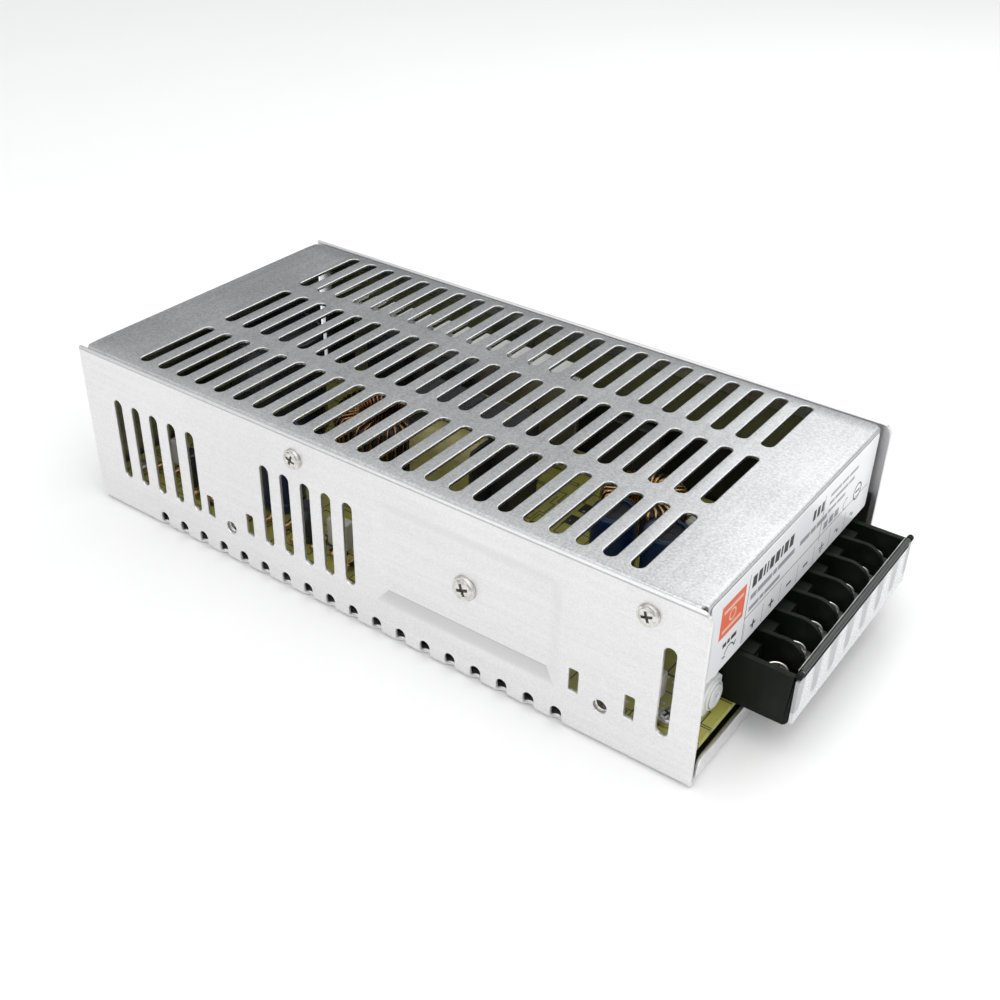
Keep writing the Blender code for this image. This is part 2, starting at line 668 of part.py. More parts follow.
def circuit_board():
    finish = material("olive_circuit_board", (0.28, 0.27, 0.08), 0.45)
    low = (REAR + BOARD_REAR_SETBACK, SIDE + WALL + BOARD_SIDE_CLEARANCE, BOARD_UNDERSIDE)
    film_face = HALF - WALL - TOUCH_GAP - FILM
    high = (FRONT - BOARD_FRONT_SETBACK, film_face - BOARD_SIDE_CLEARANCE, BOARD_TOP)
    obj = add("circuit_board", block(low, high), finish)
    holes = bmesh.new()
    for point in standoff_points():
        prism(circle(point, STANDOFF_BORE / 2), "Z", BOARD_UNDERSIDE - MM, BOARD_TOP + MM, holes)
    cut(obj, "board_screw_holes", holes)
    return obj


# ---------------------------------------------------------------- screws

def cross_outline(reach, width):
    half = width / 2
    return [(reach, -half), (reach, half), (half, half), (half, reach), (-half, reach), (-half, half),
            (-reach, half), (-reach, -half), (-half, -half), (-half, -reach), (half, -reach), (half, -half)]


def pan_screw(name, head_radius, head_height, shank_radius, shank_length, finish, location, turn=None):
    """A cross-recess pan-head screw; its seat is the origin and its head points along local +Z."""
    profile = [(0, head_height), (0.62 * head_radius, head_height), (0.92 * head_radius, 0.7 * head_height),
               (head_radius, 0.35 * head_height), (head_radius, 0), (shank_radius, 0),
               (shank_radius, -shank_length), (0, -shank_length)]
    obj = add(name, turned(profile), finish, location, turn, smooth=True)
    recess = prism(cross_outline(0.5 * head_radius, 0.18 * head_radius), "Z",
                   0.45 * head_height, head_height + MM)
    helper = tool(name + "_recess", recess)
    helper.location = location
    if turn:
        helper.rotation_euler = turn
    boolean(obj, helper, "DIFFERENCE")
    return obj


def case_screws():
    steel = material("zinc_plated_screw", (0.55, 0.55, 0.53), 0.3, 1.0)
    number = 0
    for side in (-1, 1):
        turn = (math.radians(-90 * side), 0, 0)
        for place in COVER_SCREW_PLACES:
            number += 1
            seat = side * (HALF + TOUCH_GAP)
            pan_screw("cover_screw_%d" % number, CASE_HEAD_RADIUS, CASE_HEAD_PROUD - TOUCH_GAP,
                      SCREW_SHANK_RADIUS, SCREW_LENGTH, steel, (place, seat, COVER_SCREW_HEIGHT), turn)
    seat = SIDE + RECESS_DEPTH - TOUCH_GAP
    pan_screw("heat_bar_screw", CLAMP_HEAD_RADIUS, RECESS_DEPTH - TOUCH_GAP + CASE_HEAD_PROUD,
              SCREW_SHANK_RADIUS, SCREW_LENGTH, steel, (RECESS_X, seat, RECESS_MIDDLE),
              (math.radians(90), 0, 0))
    for number, point in enumerate(standoff_points(), 1):
        pan_screw("board_screw_%d" % number, BOARD_HEAD_RADIUS, BOARD_HEAD_HEIGHT, SCREW_SHANK_RADIUS,
                  BOARD_THICKNESS + 3.5 * MM, steel, (*point, SEAT))


# ---------------------------------------------------------------- terminals

def pole_centres():
    first = BLOCK_NEAR + END_WALL - DIVIDER / 2 + POLE_PITCH / 2
    return [first + POLE_PITCH * i for i in range(POLES)]


def divider_outline():
    """Side view of a divider: flat at the back, a rounded crown, a steep front."""
    top = BLOCK_BASE + DIVIDER_HEIGHT
    front = BLOCK_FRONT - DIVIDER_FRONT_SETBACK
    centre_x = front - CROWN_LENGTH
    centre_z = top - CROWN_HEIGHT
    outline = [(BLOCK_REAR, BLOCK_BASE), (front, BLOCK_BASE)]
    for angle in (0, 25, 50, 72, 90):
        turn = math.radians(angle)
        outline.append((centre_x + CROWN_LENGTH * math.cos(turn), centre_z + CROWN_HEIGHT * math.sin(turn)))
    outline.append((BLOCK_REAR, top - CROWN_BACK_FALL))
    return outline


def end_wall_outline():
    """Side view of an end wall, with the ear that holds the shield's pin."""
    top = BLOCK_BASE + BLOCK_END_HEIGHT
    outline = [(BLOCK_REAR, BLOCK_BASE), (BLOCK_FRONT - MM, BLOCK_BASE), (BLOCK_FRONT, BLOCK_BASE + MM)]
    outline += [(BLOCK_FRONT, SHIELD_AXIS_Z - EAR_RADIUS)]
    outline += arc((SHIELD_AXIS_X, SHIELD_AXIS_Z), EAR_RADIUS, -90, 180, 9)
    outline += [(SHIELD_AXIS_X - EAR_RADIUS, top), (BLOCK_REAR, top)]
    return outline


def terminal_block():
    finish = material("black_terminal_moulding", (0.012, 0.016, 0.014), 0.38)
    near = BLOCK_NEAR
    far = BLOCK_NEAR + BLOCK_WIDTH
    shoulder = BLOCK_REAR + SHOULDER_DEPTH
    front = BLOCK_FRONT - BODY_FRONT_SETBACK
    body = [(BLOCK_REAR, BLOCK_BASE), (front, BLOCK_BASE), (front, BLOCK_FLOOR),
            (shoulder, BLOCK_FLOOR), (shoulder, BLOCK_BASE + SHOULDER_HEIGHT),
            (BLOCK_REAR, BLOCK_BASE + SHOULDER_HEIGHT)]
    obj = add("terminal_block", prism(body, "Y", near + END_WALL / 2, far - END_WALL / 2), finish)
    walls = bmesh.new()
    for start in (near, far - END_WALL):
        prism(end_wall_outline(), "Y", start, start + END_WALL, walls)
    for i in range(1, POLES):
        middle = near + END_WALL - DIVIDER / 2 + POLE_PITCH * i
        prism(divider_outline(), "Y", middle - DIVIDER / 2, middle + DIVIDER / 2, walls)
    fuse(obj, "block_walls", walls)
    holes = bmesh.new()
    for y in pole_centres():
        prism(circle((TERMINAL_SCREW_X, y), TERMINAL_SHANK_RADIUS + 2 * TOUCH_GAP), "Z",
              BLOCK_BASE + 0.6 * MM, BLOCK_FLOOR + MM, holes)
    for start, end in ((near - MM, near + END_WALL + MM), (far - END_WALL - MM, far + MM)):
        prism(circle((SHIELD_AXIS_X, SHIELD_AXIS_Z), SHIELD_PIN_BORE, 8), "Y", start, end, holes)
    cut(obj, "block_bores", holes)
    return obj


def pierced_plate(name, size, thickness, bore, finish, location):
    """A flat terminal plate about its screw, pierced for the screw's shank."""
    low_x, high_x, half_y = size
    obj = add(name, block((low_x, -half_y, 0), (high_x, half_y, thickness)), finish, location)
    helper = tool(name + "_bore", prism(circle((0, 0), bore), "Z", -MM, thickness + MM))
    helper.location = location
    boolean(obj, helper, "DIFFERENCE")
    return obj


def terminals():
    brass = material("tinned_brass_contact", (0.66, 0.62, 0.52), 0.32, 1.0)
    nickel = material("nickel_plated_terminal", (0.72, 0.71, 0.68), 0.25, 1.0)
    bore = TERMINAL_SHANK_RADIUS + TOUCH_GAP
    back = BLOCK_REAR + SHOULDER_DEPTH + TOUCH_GAP - TERMINAL_SCREW_X
    step = back + CONTACT_LENGTH - TONGUE_LENGTH
    half_clamp = CLAMP_SIZE / 2
    for number, y in enumerate(pole_centres(), 1):
        contact = pierced_plate("terminal_contact_%d" % number, (back, step, CONTACT_WIDTH / 2),
                                CONTACT_THICKNESS, bore, brass, (TERMINAL_SCREW_X, y, CONTACT_BASE))
        start = TERMINAL_SCREW_X + step - MM
        low = (start, y - CONTACT_WIDTH / 2, CONTACT_BASE)
        high = (start + MM + TONGUE_LENGTH, y + CONTACT_WIDTH / 2, CONTACT_BASE + TONGUE_THICKNESS)
        fuse(contact, "contact_tongue_%d" % number, block(low, high))
        pierced_plate("terminal_clamp_%d" % number, (-half_clamp, half_clamp, half_clamp),
                      CLAMP_THICKNESS, bore, nickel, (TERMINAL_SCREW_X, y, CLAMP_BASE))
        pan_screw("terminal_screw_%d" % number, TERMINAL_HEAD_RADIUS, TERMINAL_HEAD_HEIGHT,
                  TERMINAL_SHANK_RADIUS, TERMINAL_SHANK_LENGTH, nickel, (TERMINAL_SCREW_X, y, SCREW_SEAT))


def terminal_shield():
    """The clear flap, built about its hinge axis: a beaded plate with a pin at each end."""
    finish = material("clear_terminal_shield", (0.80, 0.82, 0.84), 0.18, 0.0, 0.55)
    half_width = BLOCK_WIDTH / 2
    inner = half_width - END_WALL - TOUCH_GAP
    shoulder = EAR_RADIUS + TOUCH_GAP
    plate = [(-half_width, -SHIELD_DROP), (half_width, -SHIELD_DROP), (half_width, -shoulder),
             (inner, -shoulder), (inner, 0), (-inner, 0), (-inner, -shoulder), (-half_width, -shoulder)]
    bm = prism(plate, "X", -SHIELD_THICKNESS / 2, SHIELD_THICKNESS / 2)
    centre = (SHIELD_AXIS_X, BLOCK_NEAR + half_width, SHIELD_AXIS_Z)
    obj = add("terminal_shield", bm, finish, centre)
    for name, radius, reach in (("shield_bead", SHIELD_BEAD_RADIUS, inner),
                                ("shield_pins", SHIELD_PIN_RADIUS, half_width - 0.2 * MM)):
        helper = tool(name, prism(circle((0, 0), radius, 8), "Y", -reach, reach))
        helper.location = centre
        boolean(obj, helper, "UNION")
    return obj


# ---------------------------------------------------------------- adjuster, lamp, label

def trimmer():
    white = material("white_nylon_trimmer", (0.80, 0.80, 0.78), 0.4)
    front = FRONT - TRIMMER_FRONT_SETBACK
    centre = (front, TRIMMER_Y, SEAT + TRIMMER_HEIGHT / 2)
    half = TRIMMER_WIDTH / 2
    rise = TRIMMER_HEIGHT / 2
    body = prism(rectangle((-half, -rise), (half, rise)), "X", -TRIMMER_DEPTH, 0)
    bmesh.ops.bevel(body, geom=list(body.edges), offset=0.5 * MM, segments=1, affect="EDGES")
    obj = add("trimmer_body", body, white, centre)
    helper = tool("trimmer_seat", prism(circle((0, 0), ROTOR_RADIUS + TOUCH_GAP, 16), "X",
                                        -ROTOR_SEAT_DEPTH - TOUCH_GAP, MM))
    helper.location = centre
    boolean(obj, helper, "DIFFERENCE")
    rotor = prism(circle((0, 0), ROTOR_RADIUS, 16), "X", -ROTOR_SEAT_DEPTH, ROTOR_LENGTH - ROTOR_SEAT_DEPTH)
    grey = material("pale_trimmer_rotor", (0.70, 0.72, 0.72), 0.35)
    turning = add("trimmer_rotor", rotor, grey, centre)
    face = ROTOR_LENGTH - ROTOR_SEAT_DEPTH
    helper = tool("rotor_slot", prism(cross_outline(0.78 * ROTOR_RADIUS, 0.9 * MM), "X",
                                      face - 0.7 * MM, face + MM))
    helper.location = centre
    boolean(turning, helper, "DIFFERENCE")


def pilot_lamp():
    """A horizontal lamp with a round nose, standing over the trimmer on two bent legs."""
    finish = material("milky_lamp", (0.78, 0.84, 0.78), 0.3)
    front = FRONT - TRIMMER_FRONT_SETBACK + 0.4 * MM
    flange = LAMP_RADIUS + LAMP_FLANGE
    centre = (front - LAMP_RADIUS, TRIMMER_Y - LAMP_OFFSET, SEAT + TRIMMER_HEIGHT + LAMP_TRIMMER_GAP + flange)
    nose = arc((0, 0), LAMP_RADIUS, 90, 0, 4)
    profile = [(0, nose[0][1])] + [(x, z) for x, z in nose[1:]]
    base = LAMP_RADIUS - LAMP_LENGTH
    profile += [(LAMP_RADIUS, base + MM), (flange, base + MM), (flange, base), (0, base)]
    obj = add("pilot_lamp", turned(profile), finish, centre, (0, math.radians(90), 0), smooth=True)
    legs = bmesh.new()
    back = centre[0] + base
    heel = back - 2.0 * MM
    for side in (-1, 1):
        y = centre[1] + side * LAMP_LEG_PITCH / 2
        leg = [(back + 0.5 * MM, centre[2] + LAMP_LEG / 2), (heel, centre[2] + LAMP_LEG / 2), (heel, SEAT),
               (heel + LAMP_LEG, SEAT), (heel + LAMP_LEG, centre[2] - LAMP_LEG / 2),
               (back + 0.5 * MM, centre[2] - LAMP_LEG / 2)]
        prism(leg, "Y", y - LAMP_LEG / 2, y + LAMP_LEG / 2, legs)
    fuse(obj, "lamp_legs", legs)


def front_label():
    finish = material("silver_label_film", (0.80, 0.81, 0.83), 0.35)
    back = COVER_FRONT + LABEL_GAP
    reach = COVER_HALF - COVER_CORNER_RELIEF - LABEL_MARGIN
    low = (back, -reach, COVER_FLANGE_FOOT + 0.3 * MM)
    high = (back + LABEL_THICKNESS, reach, CASE_HEIGHT - COVER_BEND - 0.3 * MM)
    return add("front_label", block(low, high), finish)


# ---------------------------------------------------------------- inside the case

def standing_box(name, place, size, bevel, finish, lift=0.0):
    """A chamfered block standing on the board, at the world (x, y) of its centre."""
    return add(name, bevelled_box(size, bevel), finish, (*place, SEAT + lift))


def standing_can(name, place, radius, height, finish):
    """An electrolytic can: rolled groove near the foot, stepped rim and sunk vent at the top."""
    step = 0.5 * MM
    rim = 1.2 * MM
    profile = [(0, height - step), (radius - rim, height - step), (radius - 0.9 * MM, height),
               (radius - 0.3 * MM, height), (radius, height - step), (radius, 4.2 * MM),
               (radius - step, 3.6 * MM), (radius, 3.0 * MM), (radius, 0), (0, 0)]
    return add(name, turned(profile, 14), finish, (*place, SEAT), smooth=True)


def wound_choke(name, place, ring, squash, finish):
    major, minor = ring
    return add(name, wound_ring(major, minor, squash, 12, 0.35 * MM), finish,
               (*place, SEAT + squash * minor), smooth=True)


def output_heat_bar():
    """Aluminium bar clamped to the pressed pad of the wall; carries the output rectifiers."""
    finish = material("bare_aluminium_bar", (0.75, 0.75, 0.76), 0.38, 1.0)
    epoxy = material("black_epoxy_package", (0.02, 0.02, 0.022), 0.5)
    back = SIDE + WALL + RECESS_DEPTH + TOUCH_GAP
    face = back + HEAT_BAR_THICKNESS
    half = RECESS_LENGTH / 2 - MM
    bar = block((RECESS_X - half, back, SEAT), (RECESS_X + half, face, RECESS_HIGH - MM))
    obj = add("output_heat_bar", bar, finish)
    bore = circle((RECESS_X, RECESS_MIDDLE), SCREW_HOLE_RADIUS)
    cut(obj, "bar_bore", prism(bore, "Y", back - MM, face + MM))
    y = face + TOUCH_GAP + RECTIFIER_SIZE[1] / 2
    for number, side in enumerate((-1, 1), 1):
        standing_box("output_rectifier_%d" % number, (RECESS_X + side * RECTIFIER_OFFSET, y),
                     RECTIFIER_SIZE, 0.4 * MM, epoxy, 5.0 * MM)


def switch_heatsink():
    """Upright plate with a row of tabs folded over at the top, and the two packages on it."""
    finish = material("bare_aluminium_bar", (0.75, 0.75, 0.76), 0.38, 1.0)
    epoxy = material("black_epoxy_package", (0.02, 0.02, 0.022), 0.5)
    back = off_mains_wall(HEATSINK_FROM_MAINS_WALL)
    face = back - HEATSINK_THICKNESS
    start = from_rear(HEATSINK_FROM_REAR)
    obj = add("switch_heatsink", block((start, face, SEAT), (start + HEATSINK_LENGTH, back, CEILING)), finish)
    tabs = bmesh.new()
    for i in range(HEATSINK_TABS):
        x = start + 3.0 * MM + i * HEATSINK_TAB_PITCH
        width, reach, thickness = HEATSINK_TAB
        top = CEILING - 0.2 * MM
        block((x, face - reach, top - thickness), (x + width, face + 0.5 * MM, top), tabs)
    fuse(obj, "heatsink_tabs", tabs)
    y = face - TOUCH_GAP - SWITCH_SIZE[1] / 2
    packages = (("power_switch", SWITCH_FROM_HEATSINK_END), ("boost_diode", DIODE_FROM_HEATSINK_END))
    for name, distance in packages:
        standing_box(name, (start + distance, y), SWITCH_SIZE, 0.4 * MM, epoxy, 4.0 * MM)


def transformer():
    """A ferrite frame round a taped winding, which fills the frame's window."""
    ferrite = material("grey_ferrite", (0.05, 0.05, 0.055), 0.55)
    tape = material("yellow_transformer_tape", (0.72, 0.62, 0.22), 0.4)
    x = from_rear(TRANSFORMER_PLACE[0])
    y = off_mains_wall(TRANSFORMER_PLACE[1])
    length, depth, height = CORE_SIZE
    core = bevelled_box(CORE_SIZE, 0.6 * MM)
    obj = add("transformer_core", core, ferrite, (x, y, SEAT))
    window = length / 2 - CORE_LEG
    sill = SEAT + CORE_YOKE
    lintel = SEAT + height - CORE_YOKE
    opening = block((x - window, y - depth, sill), (x + window, y + depth, lintel))
    cut(obj, "core_window", opening)
    size = (2 * window - 2 * TOUCH_GAP, WINDING_LENGTH, height - 2 * CORE_YOKE - 2 * TOUCH_GAP)
    add("transformer_winding", bevelled_box(size, 2.0 * MM), tape, (x, y, SEAT + CORE_YOKE + TOUCH_GAP))


def board_parts():
    """The loose parts: each is placed from the end and the wall that it belongs near."""
    blue = material("blue_capacitor_sleeve", (0.05, 0.16, 0.42), 0.35)
    dark = material("dark_capacitor_sleeve", (0.03, 0.035, 0.05), 0.35)
    bulk = (from_rear(BULK_PLACE[0]), off_mains_wall(BULK_PLACE[1]))
    standing_can("bulk_capacitor", bulk, BULK_CAN_RADIUS, CEILING - SEAT, dark)
    row = off_output_wall(OUTPUT_CAN_ROW)
    cans = [(from_front(distance), row) for distance in OUTPUT_CAN_FROM_FRONT]
    cans.append((from_rear(REAR_CAN_PLACE[0]), off_output_wall(REAR_CAN_PLACE[1])))
    for number, place in enumerate(cans, 1):
        standing_can("output_capacitor_%d" % number, place, OUTPUT_CAN_RADIUS, OUTPUT_CAN_HEIGHT, blue)
    copper = material("enamelled_copper", (0.55, 0.24, 0.09), 0.35, 1.0)
    gold = material("brown_gold_winding", (0.42, 0.26, 0.08), 0.4, 1.0)
    output_choke = (from_front(OUTPUT_CHOKE_PLACE[0]), off_output_wall(OUTPUT_CHOKE_PLACE[1]))
    wound_choke("output_choke", output_choke, POWER_CHOKE_RING, 1.3, copper)
    boost_choke = (from_rear(BOOST_CHOKE_PLACE[0]), off_mains_wall(BOOST_CHOKE_PLACE[1]))
    wound_choke("boost_choke", boost_choke, POWER_CHOKE_RING, 1.3, copper)
    filter_choke = (from_front(FILTER_CHOKE_PLACE[0]), off_mains_wall(FILTER_CHOKE_PLACE[1]))
    wound_choke("line_filter_choke", filter_choke, FILTER_CHOKE_RING, 1.4, gold)
    epoxy = material("black_epoxy_package", (0.02, 0.02, 0.022), 0.5)
    bridge = (from_rear(BRIDGE_PLACE[0]), off_mains_wall(BRIDGE_PLACE[1]))
    standing_box("bridge_rectifier", bridge, BRIDGE_SIZE, 0.5 * MM, epoxy, 3.0 * MM)
    yellow = material("film_capacitor_case", (0.62, 0.50, 0.12), 0.42)
    capacitor = (from_front(LINE_CAPACITOR_PLACE[0]), off_mains_wall(LINE_CAPACITOR_PLACE[1]))
    standing_box("line_capacitor", capacitor, LINE_CAPACITOR_SIZE, 0.6 * MM, yellow)
    glass = material("fuse_body", (0.75, 0.74, 0.70), 0.25)
    fuse_place = (from_front(FUSE_PLACE[0]), off_mains_wall(FUSE_PLACE[1]))
    standing_box("line_fuse", fuse_place, FUSE_SIZE, 1.2 * MM, glass, 1.0 * MM)


def main():
    clear_scene()
    base_chassis()
    top_cover()
    insulating_film()
    circuit_board()
    case_screws()
    terminal_block()
    terminals()
    terminal_shield()
    trimmer()
    pilot_lamp()
    front_label()
    output_heat_bar()
    switch_heatsink()
    transformer()
    board_parts()


main()
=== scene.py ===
# %% [markdown]
# # An enclosed switching power supply
#
# The real object is a folded aluminium case full of parts on one circuit board, with a slotted lid on top
# and a black terminal strip at the front. The working model already holds the case, the terminals and the
# joints. This lesson builds the looks around it: sheet metal that is punched flat and then folded,
# moulded plastic with soft edges, printed film, turned screws and wound parts. Loading the working model
# comes first, because every piece takes its place from it.
# %% Load the working model
import json
import math

import bmesh
import bpy
from mathutils import Matrix, Vector


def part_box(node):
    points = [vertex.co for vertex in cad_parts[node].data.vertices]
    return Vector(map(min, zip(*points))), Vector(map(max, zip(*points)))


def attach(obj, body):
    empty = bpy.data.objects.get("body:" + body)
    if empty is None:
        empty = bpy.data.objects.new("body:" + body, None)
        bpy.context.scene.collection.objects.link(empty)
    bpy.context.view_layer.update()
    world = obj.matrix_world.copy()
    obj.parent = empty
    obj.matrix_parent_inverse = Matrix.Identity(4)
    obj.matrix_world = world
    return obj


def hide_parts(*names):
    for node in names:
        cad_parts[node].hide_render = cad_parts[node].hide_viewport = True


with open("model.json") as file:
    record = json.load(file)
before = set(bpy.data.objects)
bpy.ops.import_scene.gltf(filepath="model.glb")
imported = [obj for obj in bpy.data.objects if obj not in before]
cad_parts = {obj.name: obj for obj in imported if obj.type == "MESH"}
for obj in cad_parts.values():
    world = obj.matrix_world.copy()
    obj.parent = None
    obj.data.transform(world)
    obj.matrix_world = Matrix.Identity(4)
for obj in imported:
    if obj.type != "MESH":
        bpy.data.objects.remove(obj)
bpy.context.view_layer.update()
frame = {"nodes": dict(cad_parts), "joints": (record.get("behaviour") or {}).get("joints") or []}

MM = 0.001

# %% [markdown]
# ## The case's own measures
#
# A sheet-metal drawing starts from its outside sizes, its gauge and its bend radii. The outside sizes are
# read from the model, so the looks follow it. The gauges and radii are the drawing's own values.
# %% Outside sizes and gauges
def mm(*lengths):
    """Lengths given in millimetres, as metres."""
    return tuple(length * MM for length in lengths)


def middle_of(node):
    low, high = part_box(node)
    return (low + high) / 2


case_low, case_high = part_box("base_chassis")
cover_low, cover_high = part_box("top_cover")
REAR, SIDE = case_low.x, case_low.y
FRONT, FAR_SIDE, TOP = case_high
CASE_LENGTH, CASE_WIDTH = FRONT - REAR, FAR_SIDE - SIDE
WALL, WALL_BEND = mm(1.2, 2.0)
COVER_SHEET, COVER_BEND = mm(1.0, 1.0)
PAD_X = FRONT - 64.5 * MM
PAD_LOW, PAD_HIGH = 15.3 * MM, TOP - 11.3 * MM
PAD_HALF, PAD_RAMP, PAD_DEPTH = mm(24.0, 4.6, 1.0)
print("case %.1f x %.1f x %.1f mm" % (CASE_LENGTH / MM, CASE_WIDTH / MM, TOP / MM))

# %% [markdown]
# ## Writing a material as sums
#
# A material is a sheet of nodes. Placing each node by hand hides the idea behind it, so a small class
# wraps one output socket and gives it Python's operators: `1 - mask` then adds a Math node. A second
# class holds the sheet, and its one method `node` makes any other node from its type, settings and
# inputs.
# %% A socket that can be added and multiplied
class Signal:
    """An output socket on a sheet of nodes; sums on it become Math nodes."""

    def __init__(self, sheet, socket):
        self.sheet = sheet
        self.socket = socket

    def math(self, operation, *terms):
        return self.sheet.node("ShaderNodeMath", {"operation": operation}, dict(enumerate(terms)))

    def __add__(self, other):
        return self.math("ADD", self, other)

    def __sub__(self, other):
        return self.math("SUBTRACT", self, other)

    def __rsub__(self, other):
        return self.math("SUBTRACT", other, self)

    def __mul__(self, other):
        return self.math("MULTIPLY", self, other)

    def __lt__(self, other):
        return self.math("LESS_THAN", self, other)

    def __mod__(self, other):
        return self.math("FLOORED_MODULO", self, other)

    def __abs__(self):
        return self.math("ABSOLUTE", self)

    def most(self, other):
        return self.math("MAXIMUM", self, other)

    __radd__ = __add__
    __rmul__ = __mul__


print("signals ready")

# %% The sheet that nodes are written on
class Sheet:
    """Any tree of nodes."""

    def __init__(self, tree):
        self.tree = tree

    def node(self, kind, settings=None, inputs=None, output=0):
        """Any node: its settings first, then the values or links of its sockets."""
        made = self.tree.nodes.new(kind)
        for key, value in (settings or {}).items():
            if key == "stops":
                for element, (place, colour) in zip(made.color_ramp.elements, value):
                    element.position, element.color = place, (*colour, 1.0)
            else:
                setattr(made, key, value)
        for key, value in (inputs or {}).items():
            self.feed(made.inputs[key], value)
        return Signal(self, made.outputs[output])

    def feed(self, socket, value):
        if isinstance(value, Signal):
            self.tree.links.new(value.socket, socket)
        else:
            socket.default_value = value


class Finish(Sheet):
    """One material, with a single Principled shader at its end."""

    def __init__(self, name, **constants):
        self.material = bpy.data.materials.new(name)
        self.material.use_nodes = True
        super().__init__(self.material.node_tree)
        self.varies(**constants)

    def varies(self, **values):
        """Sets or links the shader's sockets, and gives back the material."""
        for socket, value in values.items():
            self.feed(self.tree.nodes["Principled BSDF"].inputs[socket.replace("_", " ")], value)
        return self.material


print("sheets ready")

# %% [markdown]
# Four patterns are used again and again: the place on the object, random grain, a colour mix and a small
# bump. Places are read in the object's own coordinates, in millimetres, so a grain of 0.3 mm is written
# as 0.3 and stays on the piece when it moves.
# %% Patterns that every finish uses
def place(finish, stretch=(1.0, 1.0, 1.0)):
    """Where we are on the object, in millimetres, squeezed by stretch."""
    spot = finish.node("ShaderNodeTexCoord", output="Object")
    scale = tuple(part / MM for part in stretch)
    return finish.node("ShaderNodeVectorMath", {"operation": "MULTIPLY"}, {0: spot, 1: scale})


def axes(sheet, spot):
    """The three numbers of a place."""
    split = sheet.node("ShaderNodeSeparateXYZ", None, {"Vector": spot})
    return [Signal(sheet, output) for output in split.socket.node.outputs]


def grain(finish, size, detail=3.0, stretch=(1.0, 1.0, 1.0)):
    """Random grain from 0 to 1 whose lumps are about size millimetres across."""
    inputs = {"Vector": place(finish, stretch), "Scale": 1.0 / size, "Detail": detail, "Roughness": 0.55}
    return finish.node("ShaderNodeTexNoise", {"noise_dimensions": "3D"}, inputs)


def blend(finish, mask, low, high):
    """The colour low where mask is 0, and high where it is 1."""
    ends = [value if isinstance(value, Signal) else (*value, 1.0) for value in (low, high)]
    return finish.node("ShaderNodeMix", {"data_type": "RGBA"}, {0: mask, 6: ends[0], 7: ends[1]}, output=2)


def shade(colour, share):
    """A colour made darker or lighter, up to white."""
    return tuple(min(1.0, part * share) for part in colour)


def steps(finish, value, low, high):
    """0 below low, 1 above high, smooth between."""
    inputs = {"Value": value, "From Min": low, "From Max": high}
    return finish.node("ShaderNodeMapRange", {"interpolation_type": "SMOOTHSTEP"}, inputs)


def bump(finish, height, depth, strength):
    """A small relief; depth is how tall a height of 1 stands, in millimetres."""
    inputs = {"Height": height, "Distance": depth * MM, "Strength": strength}
    return finish.node("ShaderNodeBump", None, inputs, output="Normal")


print("patterns ready")

# %% [markdown]
# ## Aluminium sheet
#
# The case is bare aluminium with a fine, slightly uneven mill skin; the lid has a coarser, duller skin.
# Both are metals: their base colour is the tint of their reflections. Long faint rolling streaks and soft
# handling smudges vary the roughness, which is what stops a metal looking like grey paint.
# %% Bare aluminium
def sheet_aluminium(name, tint, dullness, speckle, streak_axis, depth=0.14, shading_mask=None):
    finish = Finish(name, Metallic=1.0)
    fine = grain(finish, speckle, 4.0)
    along = [1.0, 1.0, 1.0]
    along[streak_axis] = 0.03
    streaks = grain(finish, 1.6, 2.0, along)
    smudge = steps(finish, grain(finish, 28.0, 2.0), 0.42, 0.62)
    skin = blend(finish, steps(finish, fine, 0.30, 0.72), shade(tint, 1 - depth), tint)
    skin = blend(finish, 0.35 * steps(finish, streaks, 0.35, 0.75), skin, shade(tint, 1.05))
    roughness = dullness + 0.10 * (fine - 0.5) + 0.05 * (streaks - 0.5) + 0.05 * smudge
    relief = bump(finish, fine + 0.4 * streaks, 0.012, 0.6)
    # The mask darkens the skin with painted shade, and also makes it rougher there.
    if shading_mask:
        mask = shading_mask(finish)
        skin = blend(finish, mask * (0.5 + fine), skin, shade(tint, 0.58))
        roughness = roughness + 0.12 * mask
    return finish.varies(Base_Color=skin, Roughness=roughness, Normal=relief)


def ramp_and_edge_shade(finish):
    """Painted shade on the ramp below the pad, wider as it goes down and darkest at its top crease, and a
    painted dark line along the walls' top edges.
    """
    along, across, up = axes(finish, place(finish))
    drop, ramp, rim = PAD_LOW / MM - up, PAD_RAMP / MM, TOP / MM
    spread = abs(along - PAD_X / MM) - PAD_HALF / MM - 0.8 * drop
    band = steps(finish, drop, -0.1, 0.15) * (1 - steps(finish, drop, ramp - 1.4, ramp))
    # A painted dark line along the walls' top edges, where the edge falls into shade.
    top_edge_shade = steps(finish, up, rim - 0.85, rim - 0.65) * (1 - steps(finish, up, rim - 0.45, rim - 0.25))
    fading = 0.50 - 0.34 * steps(finish, drop, 0.2, ramp) + 0.35 * (1 - steps(finish, drop, 0.15, 0.4))
    return (band * fading * (1 - steps(finish, spread, -0.2, 0.3)) * (across < 0)).most(0.8 * top_edge_shade)


# The case's skin carries painted shade on the pressed ramp and along the walls' top edges.
CASE_SKIN = sheet_aluminium("case_aluminium", (0.85, 0.845, 0.85), 0.44, 0.35, 0, 0.12, ramp_and_edge_shade)
COVER_SKIN = sheet_aluminium("cover_aluminium", (0.66, 0.67, 0.675), 0.33, 0.6, 1, 0.32)
BAR_SKIN = sheet_aluminium("bar_aluminium", (0.80, 0.80, 0.81), 0.36, 0.6, 0)
print("aluminium:", CASE_SKIN.name, COVER_SKIN.name, BAR_SKIN.name)

